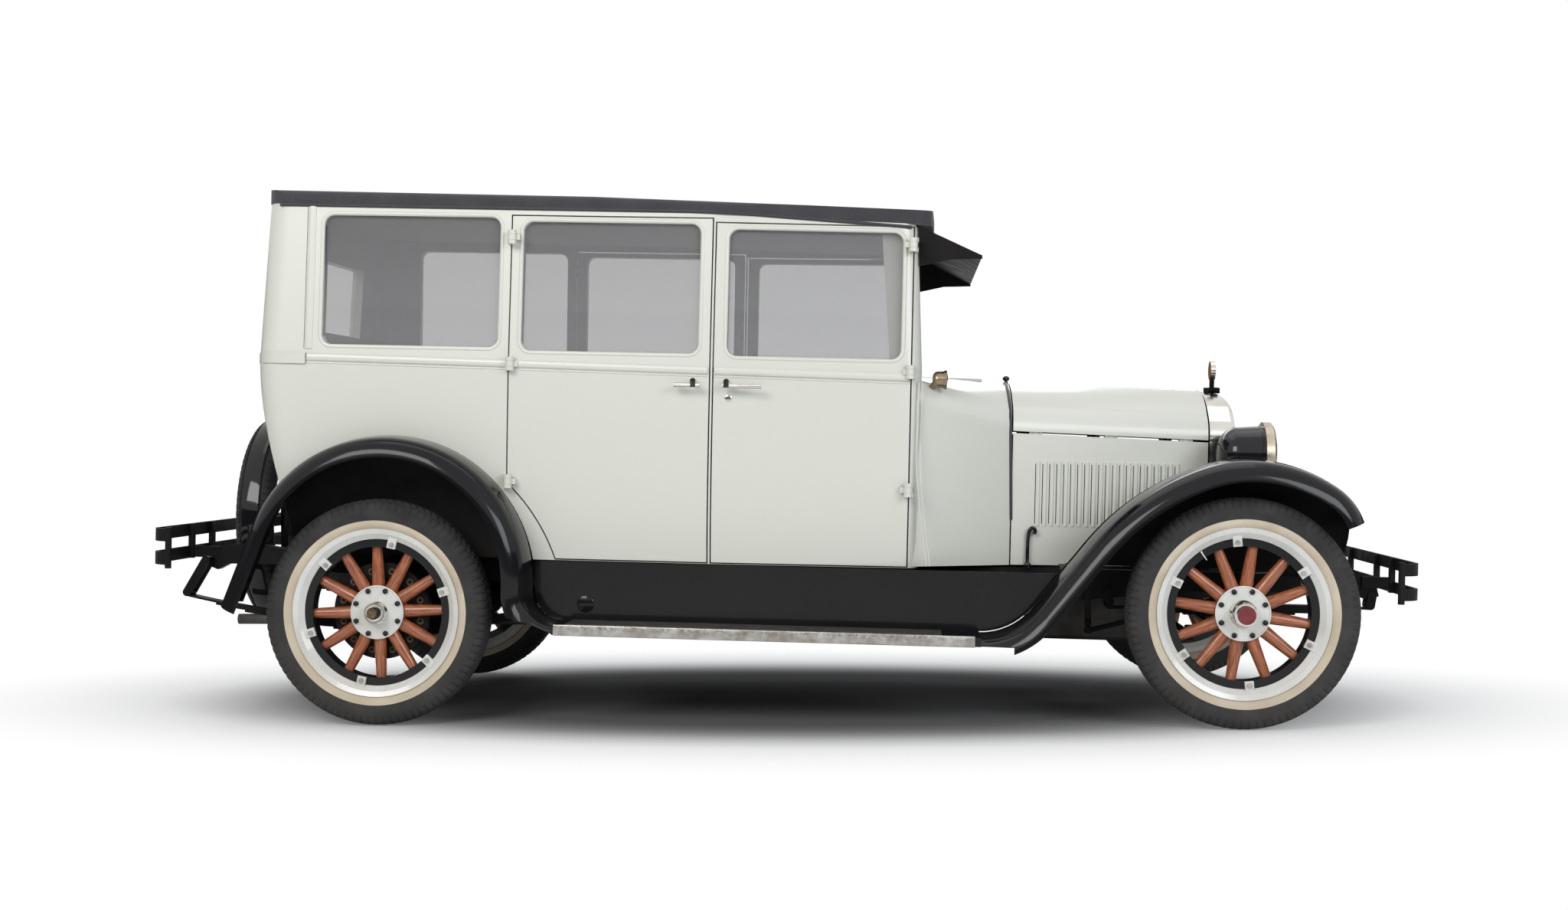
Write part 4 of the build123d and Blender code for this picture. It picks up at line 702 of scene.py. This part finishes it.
def drum_rivets():
    """The row of lightening holes round each rear drum's face."""
    for side, sign in SIDES:
        piece = Piece(f"drum_rivets_{side}", f"wheel_rear_{side}")
        hole = spun([(0, 0.012), (0.0012, 0.012), (0.0016, 0.0085), (0.0004, 0.0060), (0, 0.0060)], 20)
        spots = round_hub(12, 15, 0.140, AXLE_REAR, sign * (HUB_Y - 0.0298), (0, sign, 0))
        piece.add("rusty", *copies(hole, spots))
        piece.done()


# Coachwork trim

COACH_ROWS = ((580, 650), (800, 680), (1020, 691), (1265, 695), (1840, 671))
BELT_MARKS = ((-300, 1281), (410, 1271), (1113, 1260), (1845, 1250))
# Side windows in the coachwork's level: x from, x to, sill, top
WINDOWS = {"quarter": (-240, 380, 1312, 1763), "rear": (461, 1077, 1303, 1750),
           "front": (1175, 1772, 1298, 1734)}
SPANS = (("body_side", "quarter", -288, 416), ("door_rear", "rear", 427, 1112),
         ("door_front", "front", 1135, 1800))
BELT_BACK_Z = 1262


def between(marks, x):
    for (x0, y0), (x1, y1) in zip(marks, marks[1:]):
        if x <= x1:
            return y0 + (y1 - y0) * (x - x0) / (x1 - x0)
    return marks[-1][1]


def coach_y(x, z):
    """Half width of the coach's side at a place in the coachwork's level, in millimetres."""
    return between(COACH_ROWS, z) - 50 * max(0, min(1, (x - 1116) / (1845 - 1116)))


def side_strip(x0, x1, drop, width, depth, sign, steps=8):
    """A moulding along the side, its middle that far under the belt line."""
    points = []
    for k in range(steps + 1):
        x = x0 + (x1 - x0) * k / steps
        z = between(BELT_MARKS, x) - drop
        points.append(at(x, sign * coach_y(x, z), z))
    return drawn(points, Vector((0.026, 0, 1)) * (width / 2000), (0, sign * depth / 1000, 0))


def window_bead(name, sign, grow, radius, inset):
    """A rounded cream bead round a side window."""
    x0, x1, z0, z1 = WINDOWS[name]
    x0, x1, z0, z1 = x0 - grow, x1 + grow, z0 - grow, z1 + grow
    r = 34 + grow
    points = []
    corners = ((x1 - r, z1 - r, 0), (x0 + r, z1 - r, 90), (x0 + r, z0 + r, 180), (x1 - r, z0 + r, 270))
    for cx, cz, start in corners:
        for k in range(7):
            a = math.radians(start + 15 * k)
            x, z = cx + r * math.cos(a), cz + r * math.sin(a)
            points.append(at(x, sign * (coach_y(x, z) - inset), z))
    return bar(points, radius / 1000, cyclic=True, res=3)


def coach_trim():
    for side, sign in SIDES:
        for node, window, x0, x1 in SPANS:
            owner = "car" if node == "body_side" else f"{node}_{side}"
            piece = Piece(f"{window}_side_trim_{side}", owner, "body_paint")
            piece.add("body_paint", side_strip(x0, x1, 14, 28, 8, sign),
                      side_strip(x0, x1, 33, 6, 2.5, sign), window_bead(window, sign, 7, 8, 4.5))
            if window == "front":
                lock(piece, sign)
            piece.done(50)
        piece = Piece(f"corner_strip_{side}", "car", "body_paint")
        rows = [1296 + (1792 - 1296) * k / 8 for k in range(9)]
        piece.add("body_paint", drawn([at(-284, sign * coach_y(-284, z), z) for z in rows], (0.014, 0, 0),
                                      (0, sign * 0.006, 0)))
        seam = [at(-301, sign * (coach_y(-301, z) - 1), z) for z in rows]
        piece.add("seam_grey", drawn(seam, (0.0012, 0, 0), (0, sign * 0.002, 0)))
        piece.done(50)


def lock(piece, sign):
    """The front door's key plate under its handle."""
    spot = at(1184, sign * (coach_y(1184, 1153) - 1), 1153)
    piece.add("nickel", turned([(0, 0.013), (0.0025, 0.013), (0.004, 0.011), (0.004, 0.008), (0.0055, 0.0075),
                                (0.006, 0.001)], 24), place=toward(spot, (0, sign, 0)))


def rear_belt():
    """The flat band that carries the belt round the back."""
    piece = Piece("rear_belt_band", "car", "body_paint")
    flanks = (-293, -340, -400, -440)
    behind, level = at(-900, 0, 0).x, at(-450, 0, BELT_BACK_Z).z
    casts = [(at(x, -1200, BELT_BACK_Z), (0, 1, 0)) for x in flanks]
    casts += [((behind, y, level), (1, 0, 0))
              for y in (-0.60, -0.56, -0.50, -0.40, -0.25, 0, 0.25, 0.40, 0.50, 0.56, 0.60)]
    casts += [(at(x, 1200, BELT_BACK_Z), (0, -1, 0)) for x in reversed(flanks)]
    found = [seat("body_rear", start, way) for start, way in casts]
    rows = [spot for spot, _ in found if spot]
    up = Vector((0.026, 0, 1)) * 0.018
    outward = []
    for k, spot in enumerate(rows):
        way = (rows[min(k + 1, len(rows) - 1)] - rows[max(k - 1, 0)]).normalized()
        outward.append(Vector((way.y, -way.x, 0)).normalized() * -1)
    if outward and outward[0].y > 0:
        outward = [-n for n in outward]
    grid = [[p - up + n * 0.001, p - up + n * 0.008, p + up + n * 0.008, p + up + n * 0.001]
            for p, n in zip(rows, outward)]
    piece.add("body_paint", skin(grid, 0.0015))
    piece.done(50)


# Cowl and hood

COWL_SEAM = ((1836, 1222), (1834, 1070), (1833, 923), (1846, 800), (1858, 704), (1868, 640), (1875, 592))
JOINT_X = 2170


def cowl_trim():
    for side, sign in SIDES:
        piece = Piece(f"cowl_seam_{side}", "car", "body_paint")
        for shift in (0, 12):
            line = [on_side("cowl", x + shift, z, sign, 640) for x, z in COWL_SEAM]
            piece.add("body_paint", bar(line, 0.0026, smooth=True, res=2))
        piece.done(60)
    piece = Piece("hood_lacing", "car")
    middle = at(JOINT_X, 0, 960)
    line = []
    for k in range(41):
        a = math.radians(-48 + 276 * k / 40)
        way = Vector((0, math.cos(a), math.sin(a)))
        spot, _ = seat("cowl", middle + Vector((-0.006, 0, 0)) + way * 0.9, -way)
        if spot:
            line.append(spot + Vector((0.004, 0, 0)))
    piece.add("piping", bar(line, 0.0055, res=3))
    piece.done(60)
    piece = Piece("cowl_vent", "car", "body_paint")
    top, _ = seat("cowl", at(2008, 0, 1500), (0, 0, -1))
    lift = top.z if top else at(2008, 0, 1252).z
    lid = box((-0.0645, -0.080, -0.006), (0.0645, 0.080, 0.005), 0.004, 3)
    piece.add("body_paint", lid, place=Matrix.Translation((at(2008, 0, 1250).x, 0, lift))
              @ Matrix.Rotation(RAKE, 4, "Y"))
    piece.done(50)


def hood_trim():
    """The hinge's bright line, a knob at its rear end, and a hooked clip low on each side."""
    piece = Piece("hood_hinge_line", "car", "nickel")
    for k in range(8):
        a, b = at(2182 + 87 * k, 0, 1236 - 1.5 * k), at(2182 + 87 * k + 80, 0, 1235 - 1.5 * k)
        piece.add("nickel", bar([a, b], 0.0078, res=4))
    knob = turned([(0, 0.007), (0.012, 0.006), (0.016, 0.012), (0.024, 0.013), (0.030, 0.007),
                   (0.0315, 0.001)], 20)
    piece.add("lamp_black", knob, place=toward(at(JOINT_X - 4, 0, 1240), (0, 0, 1)))
    piece.done(40)
    for side, sign in SIDES:
        piece = Piece(f"hood_clip_{side}", "car", "chassis_black")
        shape = ((2234, 588, 6), (2234, 640, 9), (2235, 690, 14), (2240, 716, 17), (2252, 724, 18),
                 (2262, 712, 17), (2258, 700, 14))
        ends = [on_side("hood_side_" + side, x, z, sign, 404) + Vector((0, sign * out / 1000, 0))
                for x, z, out in shape]
        piece.add("lamp_black", bar(ends, 0.0065, smooth=True, res=3))
        foot = ends[0]
        piece.add("lamp_black", turned([(0, 0.013), (0.008, 0.013), (0.012, 0.009), (0.013, 0.002)], 20),
                  place=toward(foot - Vector((0, sign * 0.004, 0)), (0, sign, 0)))
        piece.done(40)


# Fenders and boards

FRONT_TRACK = ((2060, 372), 0, ((226, 52), (295, None), (820, -32), (470, -20), (520, -33), (230, -37)))
BOARD = (616, 2060, 341, 372)


def crown(track, step=20):
    """Points along a fender's crown in x and z, with the direction out from it."""
    (x, z), heading, runs = track
    points = []
    a = math.radians(heading)
    for size, turn in runs:
        length = size if turn is None else math.radians(abs(turn)) * size
        count = max(2, round(length / step))
        for _ in range(count):
            points.append((x, z, -math.sin(a), math.cos(a)))
            bend = 0 if turn is None else math.copysign(length / size / count, turn)
            a += bend / 2
            x, z = x + length / count * math.cos(a), z + length / count * math.sin(a)
            a += bend / 2
    points.append((x, z, -math.sin(a), math.cos(a)))
    return points


def fender_skirts():
    """Black inner skirts between the front fenders and the frame."""
    for side, sign in SIDES:
        rows = []
        for x, z, _, _ in crown(FRONT_TRACK, 40):
            if 2190 < x < 3360 and z > 560:
                low = max(596 - max(0, x - 3000) * 0.10, 500)
                rows.append([at(x, sign * 566, z - 8), at(x, sign * 540, (z - 8) * 0.72 + low * 0.28),
                             at(x, sign * 470, (z - 8) * 0.35 + low * 0.65), at(x, sign * 418, low)])
        piece = Piece(f"front_skirt_{side}", "car", "black_enamel")
        piece.add("chassis_black", skin(rows, 0.002))
        piece.done(60)


def board_trim():
    """Ribbed rubber on each running board, in a bright edge strip, and the apron's plug."""
    x0, x1, z0, z1 = BOARD
    for side, sign in SIDES:
        piece = Piece(f"running_board_trim_{side}", "car")
        rib = box((x0 + 40, -3.5, z1 - 1), (x1 - 130, 3.5, z1 + 3.5), 0.001, 1, True)
        places = [Matrix.Translation((0, sign * (0.655 + 0.0125 * k), 0)) @ rib.matrix_world
                  for k in range(15)]
        piece.add("tread_mat", *copies(rib, places))
        edge = box((x0 + 6, -4, z0 - 2), (x1 - 20, 4, z1 + 4), 0.0025, 3, True)
        edge.matrix_world = Matrix.Translation((0, sign * 0.8490, 0)) @ edge.matrix_world
        piece.add("bright_steel", edge)
        edge = box((x0 + 40, -5, z1), (x1 - 130, 5, z1 + 4.5), 0.0015, 2, True)
        edge.matrix_world = Matrix.Translation((0, sign * 0.843, 0)) @ edge.matrix_world
        piece.add("bright_steel", edge)
        spot = on_side("running_boards", 697, 429, sign, 642)
        piece.add("black_enamel", turned([(0, 0.030), (0.003, 0.030), (0.005, 0.027), (0.0055, 0.001)], 32),
                  place=toward(spot - Vector((0, sign * 0.001, 0)), (0, sign, 0)))
        piece.done(40)


# Roof, front and rear

def roof_trim():
    """Piping along the roof cloth's lower edge."""
    piece = Piece("roof_piping", "car", "roof_fabric")
    for _, sign in SIDES:
        line = [at(x, sign * (coach_y(x, 1796) + 1), between(((-458, 1796), (1150, 1792), (1800, 1755)), x))
                for x in range(-400, 1801, 100)]
        piece.add("piping", bar(line, 0.006, smooth=True, res=3))
    piece.done(60)


LAMP_Y, LAMP_Z = 400, 995


def lamp_trim():
    """Lenses and seam rings of the headlamps, the bar between them and the front plate."""
    piece = Piece("headlamp_trim", "car")
    ahead = at(3000, 0, 0) - at(2000, 0, 0)
    for sign in (-1, 1):
        lens = turned([(0, 0.1025), (0.004, 0.098), (0.009, 0.080), (0.013, 0.050), (0.0145, 0.001)], 48)
        piece.add("lens", lens, place=toward(at(3060, sign * LAMP_Y, LAMP_Z), ahead))
        for x, r in ((2946, 0.0972), (3036, 0.1036)):
            ring = spun([(-0.003, r), (-0.002, r + 0.0022), (0.002, r + 0.0022), (0.003, r),
                         (0, r - 0.002)], 64)
            piece.add("lamp_black", ring, place=toward(at(x, sign * LAMP_Y, LAMP_Z), ahead))
    piece.done(30)
    piece = Piece("lamp_bar", "car", "nickel")
    piece.add("nickel", bar([at(2990, -392, 760), at(2990, 392, 760)], 0.009, res=5))
    piece.add("plate_blank", box((2999, -240, 640), (3003, 240, 750), 0.0015, 2, True))
    piece.add("nickel", *[box((2997, s * 150 - 9, 742), (3004, s * 150 + 9, 772), 0.002, 2, True)
                          for s in (-1, 1)])
    piece.done(40)


def spare_hoop():
    """The glossy hoop over the spare tyre's tread."""
    piece = Piece("spare_hoop", "car", "black_enamel")
    ring = spun([(-0.031, 0.3895), (-0.030, 0.3935), (-0.020, 0.3955), (0.020, 0.3955), (0.030, 0.3935),
                 (0.031, 0.3895)], 96)
    piece.add("lamp_black", ring, place=toward((SPARE_X, 0, SPARE_Z), (1, 0, 0)))
    piece.done(40)


# Seats

# Each pad's block is this much smaller all round, in mm; the rest is in metres
PAD_SHRINK = 8
PAD_VOXEL, PAD_REACH, PLEAT_DEPTH = 0.016, 0.009, 0.010
# Name, low corner, high corner, axis that the pleats face, number of pleats
CUSHIONS = (
    ("front_seat_cushion", (1270, -560, 722), (1640, 560, 868), 2, 7),
    ("front_seat_back", (1152, -560, 800), (1268, 560, 1238), 0, 9),
    ("rear_seat_cushion", (-178, -575, 742), (330, 575, 888), 2, 9),
    ("rear_seat_back", (-318, -575, 820), (-182, 575, 1258), 0, 11),
)


def cushion(name, low, high, face, channels):
    """A padded pad blown up from a soft block, then pleated along its length."""
    obj = box(tuple(v + PAD_SHRINK for v in low), tuple(v - PAD_SHRINK for v in high), 0.022, 4, True)
    pick(obj)
    bpy.ops.object.transform_apply(location=True, rotation=True, scale=True)
    grid = obj.modifiers.new("grid", "REMESH")
    grid.mode, grid.voxel_size = "VOXEL", PAD_VOXEL
    bpy.ops.object.modifier_apply(modifier="grid")
    rest = [v.co.copy() for v in obj.data.vertices]
    swell(obj, rest)
    mid_y = (low[1] + high[1]) / 2000
    half = (high[1] - low[1]) / 2000
    top = at(*high)
    bottom = at(*low)
    for vertex in obj.data.vertices:
        co = vertex.co
        share = (co.y - mid_y) / half
        groove = abs(math.sin(math.pi * channels * (share + 1) / 2)) ** 0.5
        if face == 2:
            high_up = max(0, min(1, (co.z - (bottom.z + top.z) / 2) / 0.06))
            co.z -= (1 - groove) * PLEAT_DEPTH * high_up
        else:
            ahead = max(0, min(1, (co.x - (bottom.x + top.x) / 2) / 0.04))
            co.x -= (1 - groove) * PLEAT_DEPTH * ahead
    even = obj.modifiers.new("even", "SUBSURF")
    even.levels = even.render_levels = 1
    bpy.ops.object.modifier_apply(modifier="even")
    piece = Piece(name, "car", "seat_leather")
    piece.add("seat_leather", obj)
    return piece


def swell(obj, rest):
    """Blows the block up a little as cloth, each point kept near its start."""
    pick(obj)
    soft = obj.modifiers.new("soft", "CLOTH")
    soft.settings.use_pressure = True
    soft.settings.uniform_pressure_force = 4
    soft.settings.effector_weights.gravity = 0
    soft.settings.quality = 4
    for step in range(1, 21):
        bpy.context.scene.frame_set(step)
    bpy.ops.object.modifier_apply(modifier="soft")
    bpy.context.scene.frame_set(1)
    for vertex, start in zip(obj.data.vertices, rest):
        move = vertex.co - start
        if move.length > PAD_REACH:
            vertex.co = start + move.normalized() * PAD_REACH


def seats():
    for name, low, high, face, channels in CUSHIONS:
        piece = cushion(name, low, high, face, channels)
        node = "front_seat" if name.startswith("front") else "rear_seat"
        obj = piece.done(60, (node,))


def cabin():
    """The dash with three gauges, and the gear and brake levers, seen through the glass."""
    piece = Piece("dash_and_levers", "car")
    piece.add("wood_rear", box((1776, -548, 1120), (1792, 548, 1238), 0.006, 3, True))
    for y, r in ((-60, 38), (40, 30), (120, 30)):
        gauge = turned([(0, r / 1000), (0.005, r / 1000), (0.006, r / 1000 - 0.004),
                        (0.004, r / 1000 - 0.006), (0.004, 0.001)], 32)
        piece.add("nickel", gauge, place=toward(at(1776, y, 1180), (-1, 0, 0)))
    gear = [at(1560, 0, 640), at(1548, 0, 780), at(1520, 4, 900), at(1512, 6, 960)]
    piece.add("chassis_black", bar(gear, 0.008, smooth=True))
    knob = turned([(0, 0.006), (0.004, 0.018), (0.016, 0.023), (0.030, 0.019), (0.036, 0.004)], 20)
    piece.add("lamp_black", knob, place=toward(at(1512, 6, 952), (0, 0, 1)))
    brake = [at(1500, 90, 640), at(1470, 92, 780), at(1430, 94, 900)]
    piece.add("chassis_black", bar(brake, 0.008, smooth=True))
    piece.done(40)


# Studio

def camera():
    """The photograph's camera, turned by its yaw, pitch and roll."""
    yaw, pitch, roll = (math.radians(angle) for angle in CAMERA_TURN)
    fwd = Vector((-math.sin(yaw) * math.cos(pitch), math.cos(yaw) * math.cos(pitch), -math.sin(pitch)))
    right = Vector((math.cos(yaw), math.sin(yaw), 0))
    down = fwd.cross(right)
    c, s = math.cos(roll), math.sin(roll)
    right, down = right * c + down * s, down * c - right * s
    turn = Matrix((right, -down, -fwd)).transposed()
    data = bpy.data.cameras.new("photo_camera")
    data.sensor_fit, data.sensor_width = "HORIZONTAL", SENSOR_W
    data.lens, data.clip_end = SENSOR_W * PHOTO_FOCAL / PHOTO_W, 200
    obj = bpy.data.objects.new("photo_camera", data)
    obj.matrix_world = Matrix.Translation(CAMERA_SPOT) @ turn.to_4x4()
    bpy.context.scene.collection.objects.link(obj)
    bpy.context.scene.camera = obj


class Backdrop(Finish):
    """A world or floor that camera, glossy and transmission rays see as white."""

    def __init__(self, tree):
        self.tree = tree

    def seen(self):
        path = self.tree.nodes.new("ShaderNodeLightPath")
        kinds = ("Is Camera Ray", "Is Glossy Ray", "Is Transmission Ray")
        rays = [Value(self, path.outputs[key]) for key in kinds]
        return rays[0].maths("MAXIMUM", rays[0].maths("MAXIMUM", rays[0], rays[1]), rays[2])


LAMPS = (
    ("key", (-3.2, -7.4, 5.0), (4.5, 3.0), 350, (1.0, 0.97, 0.93)),
    ("fill", (5.2, -6.5, 3.4), (4.0, 3.0), 240, (0.93, 0.96, 1.0)),
    ("top", (0.0, 0.5, 6.5), (6.0, 4.0), 70, (1.0, 1.0, 1.0)),
    ("back", (-1.0, 6.5, 3.8), (6.0, 3.0), 170, (0.96, 0.98, 1.0)),
)


def studio():
    scene = bpy.context.scene
    scene.view_settings.view_transform = "Standard"
    world = bpy.data.worlds.new("studio")
    scene.world = world
    world.use_nodes = True
    sky = Backdrop(world.node_tree)
    lit = sky.node("Background", None, {"Color": (0.92, 0.96, 1.0, 1), "Strength": 0.40})
    white = sky.node("Background", None, {"Color": (1, 1, 1, 1), "Strength": 1})
    both = sky.node("MixShader", None, {0: sky.seen(), 1: lit, 2: white})
    sky.tree.links.new(both.socket, sky.tree.nodes["World Output"].inputs["Surface"])
    for name, place, size, power, tint in LAMPS:
        data = bpy.data.lights.new(name, "AREA")
        data.shape, data.energy, data.color = "RECTANGLE", power, tint
        data.size, data.size_y = size
        lamp = bpy.data.objects.new(name, data)
        lamp.location = place
        lamp.rotation_euler = (Vector((0, 0, 0.7)) - Vector(place)).to_track_quat("-Z", "Y").to_euler()
        scene.collection.objects.link(lamp)


def floor():
    """A pale floor with a painted shadow under the car; it keeps the car's cast shadow too and fades into the
    white background.
    """
    pick()
    bpy.ops.mesh.primitive_plane_add(size=120, location=(0, 0, -0.0005))
    obj = bpy.context.object
    obj.name = "studio_floor"
    mat = bpy.data.materials.new("studio_floor")
    mat.use_nodes = True
    ground = Backdrop(mat.node_tree)
    ground.shader = mat.node_tree.nodes["Principled BSDF"]
    ground.shader.inputs["Roughness"].default_value = 0.9
    ground.shader.inputs["Specular IOR Level"].default_value = 0.0
    away = ground.node("VectorMath", {"operation": "LENGTH"}, {0: ground.place((0.36, 0.72, 1))}, "Value")
    fade = ground.node("MapRange", {"interpolation_type": "SMOOTHSTEP"}, {"Value": away, "From Min": 0.55,
                                                                         "From Max": 1.25})
    # Painted shadow: the base colour falls from 0.80 to 0.16 in an ellipse under the car
    ground.feed("Base Color", ground.ramp(away, (0.50, 0.16), (0.66, 0.32), (0.86, 0.80)))
    glow = ground.node("Emission", None, {"Color": (1, 1, 1, 1), "Strength": 1})
    lit = Value(ground, ground.shader.outputs[0])
    both = ground.node("MixShader", None, {0: fade * ground.seen(), 1: lit, 2: glow})
    ground.tree.links.new(both.socket, ground.tree.nodes["Material Output"].inputs["Surface"])
    obj.data.materials.append(mat)


def dark_surround():
    """A low dark wall far round the car that only reflections see, as open ground would give."""
    pick()
    bpy.ops.mesh.primitive_cylinder_add(vertices=48, radius=14, depth=3.4, end_fill_type="NOTHING",
                                        location=(0, 0, 1.7))
    obj = bpy.context.object
    obj.name = "dark_surround"
    wall = Finish("dark_surround", {"Specular IOR Level": 0.0, "Roughness": 1.0})
    wall.feed("Base Color", wall.ramp(wall.noise(0.3), (0.3, 0.03), (0.7, 0.06)))
    obj.data.materials.append(wall.mat)
    obj.visible_camera = obj.visible_diffuse = obj.visible_shadow = obj.visible_transmission = False


camera()
bpy.context.view_layer.update()
paint_nodes()
tyres()
wheel_details()
drum_rivets()
coach_trim()
rear_belt()
cowl_trim()
hood_trim()
fender_skirts()
board_trim()
roof_trim()
lamp_trim()
spare_hoop()
seats()
cabin()
studio()
floor()
dark_surround()
